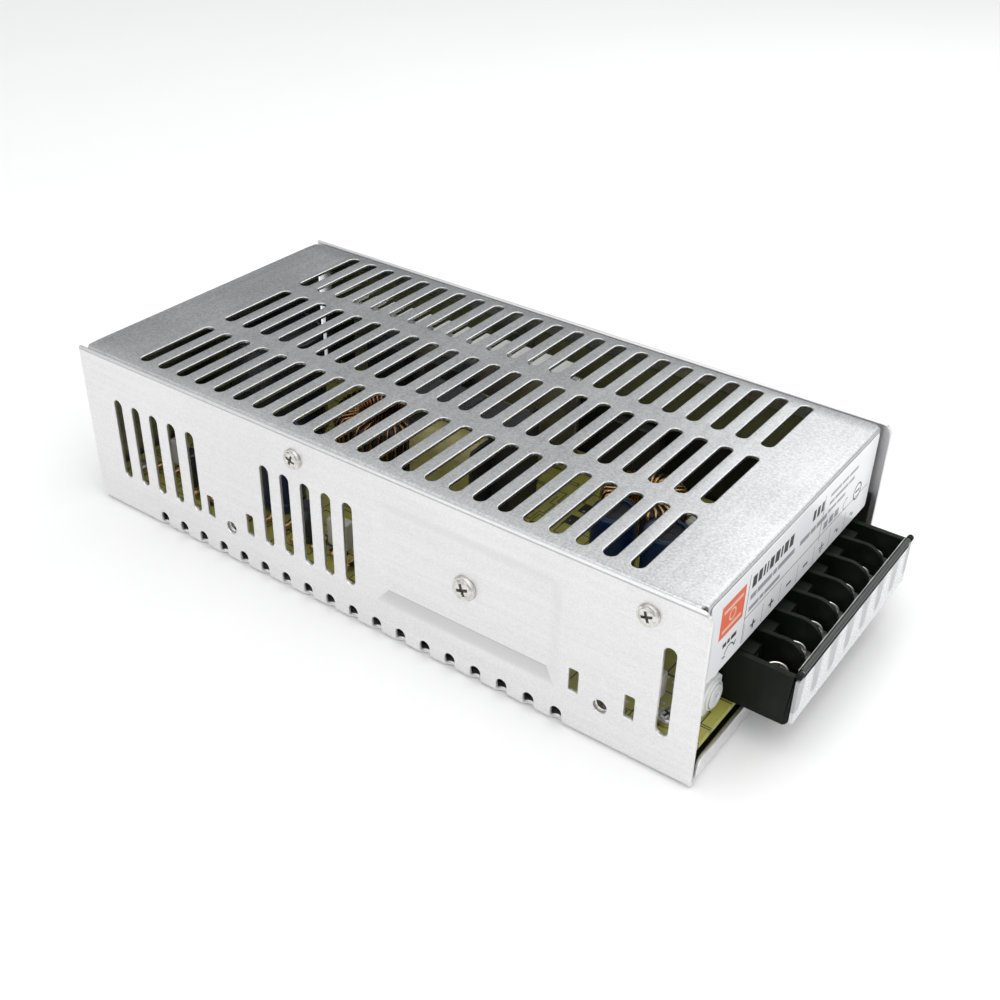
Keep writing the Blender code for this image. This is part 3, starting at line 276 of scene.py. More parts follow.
# %% [markdown]
# ## Punching a flat blank
#
# Sheet metal is cut flat. A filled 2D curve is exactly that: its first line is the outline, every further
# line is a hole, `extrude` is half the gauge and a tiny bevel is the broken edge that catches the light.
# Turned into a mesh, it can be folded.
# %% Outlines in the plane
def arc(centre, radius, start, end, count=8):
    """Points of an arc from start to end, in degrees."""
    turns = [math.radians(start + (end - start) * i / count) for i in range(count + 1)]
    return [(centre[0] + radius * math.cos(turn), centre[1] + radius * math.sin(turn)) for turn in turns]


def ring(centre, radius, count=24):
    return arc(centre, radius, 0, 360, count)[:-1]


def slot(x, y, length, width):
    """A slot along y with round ends."""
    reach = (length - width) / 2
    return arc((x, y + reach), width / 2, 0, 180) + arc((x, y - reach), width / 2, 180, 360)


def box_line(low, high):
    return [(low[0], low[1]), (high[0], low[1]), (high[0], high[1]), (low[0], high[1])]


def round_box(low, high, radius, count=5):
    """A rectangle with round corners."""
    left, foot, right, head = low[0] + radius, low[1] + radius, high[0] - radius, high[1] - radius
    corners = ((right, foot, -90), (right, head, 0), (left, head, 90), (left, foot, 180))
    return [spot for x, y, start in corners for spot in arc((x, y), radius, start, start + 90, count)]


print("outlines ready")

# %% From a curve to a punched blank
def added(name, data):
    """A new object in the scene."""
    holder = bpy.data.objects.new(name, data)
    bpy.context.scene.collection.objects.link(holder)
    return holder


def finished_mesh(holder):
    """The mesh that an object ends up with, once the object itself is dropped."""
    mesh = bpy.data.meshes.new_from_object(holder.evaluated_get(bpy.context.evaluated_depsgraph_get()))
    bpy.data.objects.remove(holder)
    return mesh


def mesh_from(name, bm):
    mesh = bpy.data.meshes.new(name)
    bm.to_mesh(mesh)
    bm.free()
    return mesh


def poured(mesh, bm):
    """Adds a mesh to a bmesh, and drops the mesh."""
    bm.from_mesh(mesh)
    bpy.data.meshes.remove(mesh)
    return bm


def punched(name, lines, gauge, edge):
    """A flat blank about z = 0 as a bmesh: the first line is its outline, the rest are holes."""
    drawing = bpy.data.curves.new(name, "CURVE")
    drawing.dimensions, drawing.fill_mode = "2D", "BOTH"
    drawing.extrude, drawing.offset = gauge / 2 - edge, -edge
    drawing.bevel_depth, drawing.bevel_resolution = edge, 2
    for line in lines:
        spline = drawing.splines.new("POLY")
        spline.points.add(len(line) - 1)
        for point, (x, y) in zip(spline.points, line):
            point.co = (x, y, 0.0, 1.0)
        spline.use_cyclic_u = True
    bm = poured(finished_mesh(added(name, drawing)), bmesh.new())
    bpy.data.curves.remove(drawing)
    bmesh.ops.remove_doubles(bm, verts=bm.verts, dist=0.002 * MM)
    bmesh.ops.recalc_face_normals(bm, faces=bm.faces)
    return bm


print("press ready")

# %% [markdown]
# A folding press needs edges to bend along, so the blank is scored across first. A fold is then a plain
# move of points: all that lies past the line turns about the bend's middle, and what lies past the bend
# goes straight on.
# %% Scoring and folding
def score(bm, axis, positions):
    """Cuts the blank across at each position, so that it has edges to bend or press along."""
    for position in positions:
        spot, normal = Vector(), Vector()
        spot[axis], normal[axis] = position, 1.0
        whole = list(bm.verts) + list(bm.edges) + list(bm.faces)
        bmesh.ops.bisect_plane(bm, geom=whole, plane_co=spot, plane_no=normal, dist=1e-7)


def fold(bm, axis, start, side, lift, radius, only):
    """Folds what lies past start, where only allows it, up (lift 1) or down (lift -1) by a right angle."""
    for v in [v for v in bm.verts if only(v.co)]:
        past = side * (v.co[axis] - start)
        if past > 0:
            turn = min(past / radius, math.pi / 2)
            reach = radius - lift * v.co.z
            v.co[axis] = start + side * reach * math.sin(turn)
            v.co.z = lift * (radius - reach * math.cos(turn) + max(0.0, past - radius * math.pi / 2))


def bend_marks(start, side, radius, count=6):
    return [start + side * radius * math.pi / 2 * i / count for i in range(count + 1)]


def unrolled(drop, bend, gauge):
    """How far past the bend's start a point lies in the flat, if it ends drop below the outer face."""
    return (bend - gauge / 2) * math.pi / 2 + drop - bend


print("a 90 degree bend takes", round(bend_marks(0, 1, WALL_BEND - WALL / 2)[-1] / MM, 2), "mm of sheet")

# %% From a bmesh to a piece
def shown(name, bm, finish, body, *replaced, slot_name, angle=None, smooth=True):
    """A piece with its finish, riding on a body; angle keeps big faces flat and small round edges soft."""
    piece = added(name, mesh_from(name, bm))
    piece.data.materials.append(finish)
    if smooth:
        piece.data.shade_smooth()
    if angle:
        piece.data.set_sharp_from_angle(angle=math.radians(angle))
        weighted = piece.modifiers.new("even shading", "WEIGHTED_NORMAL")
        weighted.keep_sharp, weighted.weight = True, 100
    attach(piece, body)
    if replaced:
        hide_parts(*replaced)
    return piece


print("pieces can be shown")

# %% [markdown]
# ## The lid
#
# The lid is one blank: a slotted top, a deep front flange for the label, a rear flange and two short side
# flanges with a tab at each screw. Its corners are relieved so that the four flanges fold without
# tearing. All of it is drawn flat about the lid's top face, punched, and then folded down along four
# lines.
# %% Where the lid's holes go
COVER_EDGE, WALL_EDGE = mm(0.3, 0.36)
COVER_RADIUS = COVER_BEND - COVER_SHEET / 2
DRAWN_DOWN, DRAWN_REACH, DRAWN_ROWS = 0.26 * MM, 5.5 * MM, 5
VENT_WIDTH, VENT_PITCH, VENT_ROW_GAP = mm(3.4, 7.12, 5.7)
VENT_SIDE_MARGIN, VENT_REAR_MARGIN, VENT_FRONT_MARGIN, VENT_SHIFT = mm(4.8, 20.5, 21.0, 0.5)
VENT_LENGTH = (CASE_WIDTH - 2 * VENT_SIDE_MARGIN - 2 * VENT_ROW_GAP) / 3
VENT_COLUMNS = int((CASE_LENGTH - VENT_REAR_MARGIN - VENT_FRONT_MARGIN) / VENT_PITCH) + 1
SIDE_FLAP, TAB_DROP, TAB_HALF, RELIEF = mm(5.0, 11.0, 8.0, 0.35)
SCREW_DROP, CLEARANCE_BORE = mm(6.4, 1.8)
FLANGE_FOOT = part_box("front_label")[0].z - 0.3 * MM
cover_screws = [middle_of("cover_screw_%d" % i) for i in (1, 2)]


def vent_lines():
    rows = [VENT_SHIFT + row * (VENT_LENGTH + VENT_ROW_GAP) for row in (-1, 0, 1)]
    columns = [REAR + VENT_REAR_MARGIN + VENT_PITCH * column for column in range(VENT_COLUMNS)]
    return [slot(x, y, VENT_LENGTH, VENT_WIDTH) for y in rows for x in columns]


print("vents", 3 * VENT_COLUMNS, "of", round(VENT_LENGTH / MM, 2), "mm")

# %% The lid's blank
def side_edge(start, end, line, flap, tab):
    """One side flap with its screw tabs, from start to end."""
    edge = [(start, line), (start, line + flap)]
    for screw in cover_screws:
        half = min(TAB_HALF, end - screw.x)
        edge += [(screw.x - half, line + flap), (screw.x - half, line + tab)]
        edge += [(screw.x + half, line + tab), (screw.x + half, line + flap)]
    if edge[-1][0] >= end - 1e-6:
        return edge[:-1] + [(end, line)]
    return edge + [(end, line + flap), (end, line)]


def cover_outline():
    """The blank's edge: a top with four flaps, relieved where they meet, and screw tabs."""
    left, right = cover_low.x + COVER_BEND, cover_high.x - COVER_BEND
    near, far = cover_low.y + COVER_BEND, cover_high.y - COVER_BEND
    drops = (TOP - cover_low.z, TOP - FLANGE_FOOT, SIDE_FLAP, TAB_DROP)
    rear_flap, front_flap, flap, tab = [unrolled(drop, COVER_BEND, COVER_SHEET) for drop in drops]
    low, high = near + RELIEF, far - RELIEF
    edge = [(left, low), (left - rear_flap, low), (left - rear_flap, high), (left, high)]
    edge += side_edge(left + RELIEF, right - RELIEF, far, flap, tab)
    edge += [(right, high), (right + front_flap, high), (right + front_flap, low), (right, low)]
    return edge + side_edge(left + RELIEF, right - RELIEF, near, -flap, -tab)[::-1]


print("lid outline has", len(cover_outline()), "corners")

# %% The lid, punched and folded
def folded_cover():
    lines = [cover_outline()] + vent_lines()
    drop = unrolled(SCREW_DROP, COVER_BEND, COVER_SHEET)
    for screw in cover_screws:
        for line in (cover_low.y + COVER_BEND - drop, cover_high.y - COVER_BEND + drop):
            lines.append(ring((screw.x, line), CLEARANCE_BORE))
    bm = punched("cover_blank", lines, COVER_SHEET, COVER_EDGE)
    inside = cover_high.y - COVER_BEND
    folds = ((0, cover_low.x + COVER_BEND, -1), (0, cover_high.x - COVER_BEND, 1),
             (1, cover_low.y + COVER_BEND, -1), (1, inside, 1))
    for axis, start, side in folds:
        score(bm, axis, bend_marks(start, side, COVER_RADIUS))
    rows = range(1, DRAWN_ROWS + 1)
    score(bm, 1, [side * (inside - DRAWN_REACH * i / DRAWN_ROWS) for side in (-1, 1) for i in rows])
    for axis, start, side in folds:
        allowed = (lambda co: co.z > -COVER_SHEET) if axis else (lambda co: abs(co.y) < inside - 0.3 * MM)
        fold(bm, axis, start, side, -1, COVER_RADIUS, allowed)
    for v in bm.verts:
        near_fold = 1 - (inside - abs(v.co.y)) / DRAWN_REACH
        v.co.z -= DRAWN_DOWN * min(1.0, max(0.0, near_fold)) ** 2
    bmesh.ops.translate(bm, verts=bm.verts, vec=(0, 0, TOP - COVER_SHEET / 2))
    return bm


lid = shown("lid", folded_cover(), COVER_SKIN, "case", "top_cover", slot_name="cover_aluminium", angle=45)
print("lid", len(lid.data.polygons), "faces")

# %% [markdown]
# ## The chassis
#
# The chassis is a channel: a bottom and two full-height walls, with a short lip folded up at the front.
# The wall that shows has two groups of tall slots, small locating slots beside each mounting bore, a row
# of holes that straddles the bottom bend, and a shallow pressed pad that brings the wall in to the
# rectifiers. Pressing is a smooth move of the blank's points: nothing outside the pad's ramp, the full
# depth inside it.
# %% The chassis's measures
WALL_RADIUS = WALL_BEND - WALL / 2
LIP_HEIGHT, LIP_CLEARANCE, LIP_CLIP, LIP_RELIEF, CORNER_RADIUS = mm(6.2, 3.0, 2.0, 0.2, 3.0)
SLOT_LOW, SLOT_HIGH = 11.9 * MM, TOP - 12.9 * MM
SLOT_WIDTH, SLOT_PITCH, SLOT_FROM_FRONT = mm(3.2, 7.15, 8.7)
SLOT_STARTS, SLOT_GROUP = mm(13.3, 69.7), 5
SMALL_WIDTH, SMALL_LOW, SMALL_HIGH, SMALL_OFFSET = mm(2.6, 12.1, 18.8, 7.5)
MOUNT_PLACES = (REAR + 55.0 * MM, FRONT - 24.8 * MM)
MOUNT_HEIGHT, MOUNT_BORE, BASE_BORE, BASE_INSET = mm(11.6, 1.85, 2.0, 17.0)
ARCH_START, ARCH_END, ARCH_PITCH = mm(26.9, 36.0, 7.97)
ARCH_WIDTH, ARCH_HEIGHT, ARCH_DEPTH = mm(3.1, 5.0, 1.7)
print("pressed pad %.1f mm long, %.1f mm high" % (2 * PAD_HALF / MM, (PAD_HIGH - PAD_LOW) / MM))

# %% The holes of its walls
def flat_y(height, side):
    """Where a point at this height on a wall lies in the flat blank."""
    return side * (CASE_WIDTH / 2 - WALL_BEND + unrolled(height, WALL_BEND, WALL))


def arch_lines(side):
    """The holes across the bottom bend, which look like arches once the wall is up."""
    foot = side * (CASE_WIDTH / 2 - ARCH_DEPTH)
    head = flat_y(ARCH_HEIGHT, side)
    count = int((CASE_LENGTH - ARCH_START - ARCH_END) / ARCH_PITCH) + 1
    columns = [REAR + ARCH_START + ARCH_PITCH * i for i in range(count)]
    return [slot(x, (foot + head) / 2, abs(head - foot), ARCH_WIDTH) for x in columns]


def wall_lines(side, full):
    """Holes of one wall, drawn in the flat; the full set is on the wall that shows."""
    lines = []
    ends = sorted((flat_y(SMALL_LOW, side), flat_y(SMALL_HIGH, side)))
    half = SMALL_WIDTH / 2
    for x in MOUNT_PLACES:
        lines.append(ring((x, flat_y(MOUNT_HEIGHT, side)), MOUNT_BORE, 16))
        for centre in (x - SMALL_OFFSET, x + SMALL_OFFSET):
            lines.append(round_box((centre - half, ends[0]), (centre + half, ends[1]), 0.4 * MM, 3))
    for screw in cover_screws:
        lines.append(ring((screw.x, flat_y(TOP - SCREW_DROP, side)), CLEARANCE_BORE, 16))
    if full:
        middle = flat_y((SLOT_LOW + SLOT_HIGH) / 2, side)
        columns = [FRONT - SLOT_FROM_FRONT]
        columns += [REAR + start + SLOT_PITCH * i for start in SLOT_STARTS for i in range(SLOT_GROUP)]
        lines += [slot(x, middle, SLOT_HIGH - SLOT_LOW, SLOT_WIDTH) for x in columns]
        lines.append(ring((PAD_X, flat_y((PAD_LOW + PAD_HIGH) / 2, side)), CLEARANCE_BORE, 16))
        lines += arch_lines(side)
    return lines


print("holes in the wall that shows:", len(wall_lines(-1, True)))

# %% The chassis's outline
def chassis_outline():
    """Bottom, two walls with rounded front corners, and the lip with clipped ends."""
    wall = flat_y(TOP, 1)
    root = CASE_WIDTH / 2 - WALL_BEND + LIP_RELIEF
    bend = FRONT - WALL_BEND
    lip = bend + unrolled(LIP_HEIGHT, WALL_BEND, WALL)
    reach = CASE_WIDTH / 2 - LIP_CLEARANCE
    start, across = FRONT - CORNER_RADIUS, wall - CORNER_RADIUS
    edge = [(REAR, -wall)] + arc((start, -across), CORNER_RADIUS, -90, 0)
    edge += [(FRONT, -root), (bend, -root), (bend, -reach)]
    edge += [(lip - LIP_CLIP, -reach), (lip, -reach + LIP_CLIP)]
    edge += [(lip, reach - LIP_CLIP), (lip - LIP_CLIP, reach)]
    edge += [(bend, reach), (bend, root), (FRONT, root)]
    return edge + arc((start, across), CORNER_RADIUS, 0, 90) + [(REAR, wall)]


print("blank is %.1f mm wide in the flat" % (2 * flat_y(TOP, 1) / MM))

# %% Pressing and folding the chassis
def smooth_rise(value):
    value = min(1.0, max(0.0, value))
    return value * value * (3 - 2 * value)


def press_pad(bm):
    """Moves the pad inward, with a ramp all round it."""
    low, high = flat_y(PAD_HIGH, -1), flat_y(PAD_LOW, -1)
    ramps = [i / 6 * PAD_RAMP for i in range(7)]
    score(bm, 0, [PAD_X + s * (PAD_HALF + r) for s in (-1, 1) for r in ramps])
    score(bm, 1, [low - r for r in ramps] + [high + r for r in ramps])
    for v in bm.verts:
        out_x = abs(v.co.x - PAD_X) - PAD_HALF
        out_y = max(low - v.co.y, v.co.y - high)
        beyond = math.hypot(max(0.0, out_x), max(0.0, out_y))
        if beyond < PAD_RAMP:
            v.co.z += PAD_DEPTH * smooth_rise(1 - beyond / PAD_RAMP)


def folded_chassis():
    lines = [chassis_outline()] + wall_lines(-1, True) + wall_lines(1, False)
    for x in MOUNT_PLACES:
        lines += [ring((x, y), BASE_BORE) for y in (SIDE + BASE_INSET, FAR_SIDE - BASE_INSET)]
    bm = punched("chassis_blank", lines, WALL, WALL_EDGE)
    press_pad(bm)
    edge, bend = CASE_WIDTH / 2 - WALL_BEND, FRONT - WALL_BEND
    folds = ((0, bend, 1), (1, -edge, -1), (1, edge, 1))
    for axis, start, side in folds:
        score(bm, axis, bend_marks(start, side, WALL_RADIUS))
    for axis, start, side in folds:
        allowed = (lambda co: co.x < bend or abs(co.y) > edge) if axis else (lambda co: abs(co.y) < edge)
        fold(bm, axis, start, side, 1, WALL_RADIUS, allowed)
    bmesh.ops.translate(bm, verts=bm.verts, vec=(0, 0, WALL / 2))
    return bm


chassis = shown("chassis", folded_chassis(), CASE_SKIN, "case", "base_chassis",
                slot_name="chassis_aluminium", angle=45)
print("chassis", len(chassis.data.polygons), "faces")

# %% [markdown]
# ## Moulded and pressed solids
#
# Most other pieces are an outline with a thickness. On the real ones no edge is sharp: a mould leaves a
# small radius and a press rolls the edge over. So each solid is an extruded outline whose corners are
# then rounded.
# %% Solids with soft edges
def soften(bm, radius):
    """Rounds every edge that turns by more than 28 degrees."""
    limit = math.radians(28)
    edges = [e for e in bm.edges if len(e.link_faces) == 2 and e.calc_face_angle() > limit]
    bmesh.ops.bevel(bm, geom=edges, offset=radius, segments=2, profile=0.5, affect="EDGES",
                    clamp_overlap=True)
    return bm


def slab(outline, axis, low, high, radius=0.0, into=None):
    """An outline extruded along an axis, with its edges rounded, added to a bmesh."""
    bm = bmesh.new()
    base, cap = [[bm.verts.new((*spot[:axis], depth, *spot[axis:])) for spot in outline]
                 for depth in (low, high)]
    bm.faces.new(base)
    bm.faces.new(cap)
    for i in range(-1, len(outline) - 1):
        bm.faces.new((base[i], base[i + 1], cap[i + 1], cap[i]))
    bmesh.ops.recalc_face_normals(bm, faces=bm.faces)
    if radius:
        soften(bm, radius)
    return joined(bm, into)


def joined(bm, into):
    """Adds a finished bmesh to another, or returns it."""
    return bm if into is None else poured(mesh_from("part", bm), into)


def brick(low, high, radius=0.0, into=None):
    outline = box_line((low[0], low[1]), (high[0], high[1]))
    return slab(outline, 2, low[2], high[2], radius, into)


def turned(profile, count=40, into=None, axis=2, centre=(0, 0, 0)):
    """Spins a profile of (radius, height) about an axis through centre."""
    bm = bmesh.new()
    rings = []
    for radius, height in profile:
        turns = [2 * math.pi * i / count for i in range(count)] if radius > 0 else [0.0]
        rings.append([bm.verts.new((radius * math.cos(t), radius * math.sin(t), height)) for t in turns])
    for upper, lower in zip(rings, rings[1:]):
        for i in range(count):
            j = (i + 1) % count
            upper_two = [upper[i % len(upper)], upper[j % len(upper)]]
            corners = list(dict.fromkeys(upper_two + [lower[j % len(lower)], lower[i % len(lower)]]))
            if len(corners) > 2:
                bm.faces.new(corners)
    bmesh.ops.recalc_face_normals(bm, faces=bm.faces)
    facing = (Matrix.Rotation(math.pi / 2, 4, "Y"), Matrix.Rotation(-math.pi / 2, 4, "X"), Matrix())
    bmesh.ops.transform(bm, matrix=Matrix.Translation(centre) @ facing[axis], verts=bm.verts)
    return joined(bm, into)


print("solids ready")

# %% [markdown]
# ## The terminal strip
#
# The strip is one black moulding: a floor, a raised step behind the screws, two end walls and a rounded
# divider between each pair of terminals. Seven equal bays are a loop over the working model's own contact
# plates.
# %% Black moulded plastic
def moulded_black():
    finish = Finish("black_thermoplastic", Specular_IOR_Level=0.16)
    fine = grain(finish, 0.25, 3.0)
    flow = grain(finish, 5.0, 2.0, (1.0, 1.0, 0.3))
    tone = blend(finish, steps(finish, flow, 0.3, 0.7), (0.003, 0.0045, 0.003), (0.006, 0.010, 0.006))
    dust = 0.25 * steps(finish, grain(finish, 9.0, 4.0), 0.55, 0.75)
    tone = blend(finish, dust, tone, (0.018, 0.022, 0.018))
    relief = bump(finish, fine, 0.02, 0.5)
    return finish.varies(Base_Color=tone, Roughness=0.42 + 0.16 * fine + 0.1 * dust, Normal=relief)


BLACK_PLASTIC = moulded_black()
print("plastic:", BLACK_PLASTIC.name)

# %% The strip's outlines
block_low, block_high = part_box("terminal_block")
contact_boxes = [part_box("terminal_contact_%d" % i) for i in range(1, 8)]
poles = [(low.y + high.y) / 2 for low, high in contact_boxes]
PITCH = poles[1] - poles[0]
DIVIDER, CROWN, EAR = mm(1.4, 5.5, 0.85)
hinge = Vector(next(j for j in frame["joints"] if j["name"] == "shield_flip")["pos_m"])
BLOCK_REAR = block_low.x
BLOCK_FRONT = FRONT + 12.0 * MM
BLOCK_BASE = block_low.z
FLOOR_TOP = contact_boxes[0][0].z - 0.3 * MM
END_TOP = BLOCK_BASE + 14.6 * MM
DIVIDER_TOP = BLOCK_BASE + 15.7 * MM


def divider_side():
    """A divider from the side: level at the back, a rounded crown, and a steep front."""
    front = BLOCK_FRONT - 1.8 * MM
    crown = [(front - CROWN + CROWN * math.cos(t), DIVIDER_TOP - CROWN + CROWN * math.sin(t))
             for t in [math.radians(9 * i) for i in range(11)]]
    return [(BLOCK_REAR, BLOCK_BASE), (front, BLOCK_BASE)] + crown + [(BLOCK_REAR, DIVIDER_TOP - 0.8 * MM)]


def end_side():
    """An end wall from the side, with the ear that holds the cover's pin."""
    line = [(BLOCK_REAR, BLOCK_BASE), (BLOCK_FRONT - MM, BLOCK_BASE), (BLOCK_FRONT, BLOCK_BASE + MM)]
    line += [(BLOCK_FRONT, hinge.z - EAR)] + arc((hinge.x, hinge.z), EAR, -90, 180, 14)
    return line + [(hinge.x - EAR, END_TOP), (BLOCK_REAR, END_TOP)]


def floor_side():
    step = BLOCK_REAR + 8.2 * MM
    front = BLOCK_FRONT - 0.6 * MM
    return [(BLOCK_REAR, BLOCK_BASE), (front, BLOCK_BASE), (front, FLOOR_TOP), (step, FLOOR_TOP),
            (step, BLOCK_BASE + 12.0 * MM), (BLOCK_REAR, BLOCK_BASE + 12.0 * MM)]


print("bays at", [round(y / MM, 2) for y in poles])

# %% The strip's moulding
def terminal_strip():
    bm = bmesh.new()
    near, far = block_low.y, block_high.y
    end = 1.7 * MM
    slab(floor_side(), 1, near + 0.5 * MM, far - 0.5 * MM, 0.0, bm)
    for start in (near, far - end):
        slab(end_side(), 1, start, start + end, 0.22 * MM, bm)
    for y in poles[:-1]:
        middle = y + PITCH / 2
        slab(divider_side(), 1, middle - DIVIDER / 2, middle + DIVIDER / 2, 0.3 * MM, bm)
    back, half = BLOCK_REAR + 5.0 * MM, 2.3 * MM
    low, seam, high = [BLOCK_BASE + rise for rise in mm(11.5, 11.6, 13.2)]
    for y in poles:
        brick((back, y - half, low), (back + 3.6 * MM, y + half, high), 0.3 * MM, bm)
        brick((back + 3.2 * MM, y - MM, FLOOR_TOP), (back + 3.9 * MM, y + MM, seam), 0.2 * MM, bm)
    return bm


strip = shown("terminal_strip", terminal_strip(), BLACK_PLASTIC, "case", "terminal_block",
              slot_name="terminal_moulding", angle=35)
print("strip", len(strip.data.polygons), "faces")

# %% [markdown]
# ## Screws
#
# Every screw here is a pan head with a cross recess. The head is a turned dome, and the recess is a
# tapered cross cut out of it. One head is made for each size and its mesh is shared by all screws of that
# size.
# %% Plated steel
def plated_steel(name, tint, dullness):
    finish = Finish(name, Metallic=1.0)
    fine = grain(finish, 0.35, 3.0)
    wear = steps(finish, grain(finish, 1.4, 3.0), 0.45, 0.7)
    tone = blend(finish, wear, tint, shade(tint, 0.72))
    roughness = dullness + 0.14 * fine + 0.1 * wear
    return finish.varies(Base_Color=tone, Roughness=roughness, Normal=bump(finish, fine, 0.01, 0.5))


ZINC = plated_steel("zinc_plate", (0.74, 0.72, 0.69), 0.22)
# Near-black painted shade for the inside of the cross recesses.
RECESS_SHADE = plated_steel("recess_painted_shade", (0.16, 0.155, 0.14), 0.5)
NICKEL = plated_steel("nickel_plate", (0.92, 0.90, 0.86), 0.24)
TIN = plated_steel("tinned_brass", (0.76, 0.72, 0.60), 0.24)
print("steels:", ZINC.name, NICKEL.name, TIN.name)

# %% A cross-recess head
def cross_line(reach, half):
    quarter = [(reach, -half), (reach, half), (half, half)]
    turns = ((1, 0), (0, 1), (-1, 0), (0, -1))
    return [(x * c - y * s, x * s + y * c) for c, s in turns for x, y in quarter]


DOME = ((0.0, 1.0), (0.25, 0.985), (0.5, 0.93), (0.68, 0.84), (0.76, 0.76), (0.80, 0.66), (0.84, 0.66),
        (0.90, 0.72), (0.96, 0.66), (0.99, 0.50))
RECESS_REACH, RECESS_HALF, RECESS_TAPER = 0.62, 0.15, 0.62
THREAD_PITCH = 0.5 * MM


def head_mesh(name, radius, height, shank, length, finish):
    """A domed head with its seat at z = 0, a cross recess and a shank below."""
    dome = [(radius * share, height * lift) for share, lift in DOME]
    dome += [(radius, 0.3 * height), (radius, 0.05 * height), (radius - 0.08 * MM, 0.0), (shank, 0.0)]
    for turn in range(int(length / THREAD_PITCH)):
        depth = turn * THREAD_PITCH
        dome += [(shank, -depth - 0.05 * MM), (shank - 0.18 * MM, -depth - 0.3 * MM)]
    dome += [(shank - 0.3 * MM, -length), (0.0, -length)]
    body = added(name, mesh_from(name, turned(dome, 40)))
    bm = slab(cross_line(RECESS_REACH * radius, RECESS_HALF * radius), 2, 0.35 * height, height * 1.3)
    for v in bm.verts:
        if v.co.z < height:
            v.co.x *= RECESS_TAPER
            v.co.y *= RECESS_TAPER
    cutter = added(name + "_cross", mesh_from(name + "_cross", bm))
    cut = body.modifiers.new("recess", "BOOLEAN")
    cut.object, cut.solver = cutter, "EXACT"
    bpy.context.view_layer.update()
    made = finished_mesh(body)
    bpy.data.objects.remove(cutter)
    made.materials.clear()
    made.materials.append(finish)
    made.materials.append(RECESS_SHADE)
    # Faces inside the cross recess take the painted shade.
    for face in made.polygons:
        inside = math.hypot(face.center.x, face.center.y) < RECESS_REACH * radius
        face.material_index = int(inside and 0.3 * height < face.center.z < 0.8 * height)
    made.shade_smooth()
    made.set_sharp_from_angle(angle=math.radians(35))
    return made


def put_screw(name, mesh, body, seat, towards, twist):
    """Places a shared head so that its top points towards +Z, -Y or +Y."""
    tip = {"up": 0.0, "near": math.pi / 2, "far": -math.pi / 2}[towards]
    piece = added(name + "_seen", mesh)
    facing = Matrix.Rotation(tip, 4, "X") @ Matrix.Rotation(twist, 4, "Z")
    piece.matrix_world = Matrix.Translation(seat) @ facing
    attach(piece, body)
    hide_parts(name)


print("screw maker ready")

# %% All the screws
def place_screws():
    proud = 1.15 * MM
    case_head = head_mesh("case_head", 2.8 * MM, proud, 1.45 * MM, 5.5 * MM, ZINC)
    pad_head = head_mesh("pad_head", 3.4 * MM, 1.3 * MM, 1.45 * MM, 5.0 * MM, ZINC)
    board_head = head_mesh("board_head", 2.9 * MM, 1.8 * MM, 1.45 * MM, 5.0 * MM, ZINC)
    pole_head = head_mesh("pole_head", 3.0 * MM, 2.2 * MM, 1.7 * MM, 4.0 * MM, NICKEL)
    for i in range(1, 5):
        name = "cover_screw_%d" % i
        seat = middle_of(name)
        near = seat.y < 0
        seat.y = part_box(name)[0].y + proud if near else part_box(name)[1].y - proud
        put_screw(name, case_head, "case", seat, "near" if near else "far", 0.5 + 0.7 * i)
        name = "board_screw_%d" % i
        seat = middle_of(name)
        seat.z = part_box(name)[1].z - 1.8 * MM
        put_screw(name, board_head, "case", seat, "up", 0.9 * i)
    seat = middle_of("heat_bar_screw")
    seat.y = SIDE + PAD_DEPTH - 0.05 * MM
    put_screw("heat_bar_screw", pad_head, "case", seat, "near", 0.35)
    for i in range(1, 8):
        name = "terminal_screw_%d" % i
        seat = middle_of(name)
        seat.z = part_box(name)[1].z - 2.2 * MM
        put_screw(name, pole_head, "screw_%d" % i, seat, "up", 0.6 + 1.1 * i)


place_screws()
print("16 screws placed")

# %% [markdown]
# ## Clamp plates
#
# Under each terminal screw sits a square plate with rolled edges and small ridges that bite the wire. The
# ridges are what glints deep in the bays.
# %% Clamp plates
def clamp_plate(low, high):
    bm = bmesh.new()
    centre = (low + high) / 2
    half = (high.x - low.x) / 2
    top = high.z - 0.02 * MM
    line = [(centre.x + x, centre.y + y) for x, y in round_box((-half, -half), (half, half), 0.7 * MM, 4)]
    hole = ring((centre.x, centre.y), 2.0 * MM)
    plate = punched("clamp", [line, hole], top - low.z, 0.15 * MM)
    bmesh.ops.translate(plate, verts=plate.verts, vec=(0, 0, (top + low.z) / 2))
    joined(plate, bm)
    for side in (-1, 1):
        for row in range(3):
            foot = Vector((centre.x + (row - 1) * 1.6 * MM, centre.y + side * (half - 0.36 * MM), top))
            brick(foot - Vector(mm(0.25, 0.3, 0.1)), foot + Vector(mm(0.25, 0.3, 0.25)), 0.08 * MM, bm)
    return bm


for i in range(1, 8):
    name = "terminal_clamp_%d" % i
    shown(name + "_seen", clamp_plate(*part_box(name)), NICKEL, "clamp_%d" % i, name,
          slot_name="terminal_steel", angle=45)
print("clamps placed")

# %% [markdown]
# ## The terminal cover
#
# The hinged cover is a thin milky strip. A bead stiffens its top edge and a pin at each end turns in the
# strip's ears. Its soft grey tongues are painted shade: the dividers behind it, showing darker through the
# milky plastic.
# %% Milky plastic and the cover
def nylon(name, colour, glow):
    finish = Finish(name, Subsurface_Weight=glow, Subsurface_Radius=(0.002, 0.002, 0.0018), IOR=1.5)
    cloud = grain(finish, 2.2, 3.0)
    tone = blend(finish, cloud, shade(colour, 0.9), colour)
    relief = bump(finish, grain(finish, 0.4), 0.01, 0.4)
    return finish.varies(Base_Color=tone, Roughness=0.24 + 0.2 * cloud, Normal=relief)


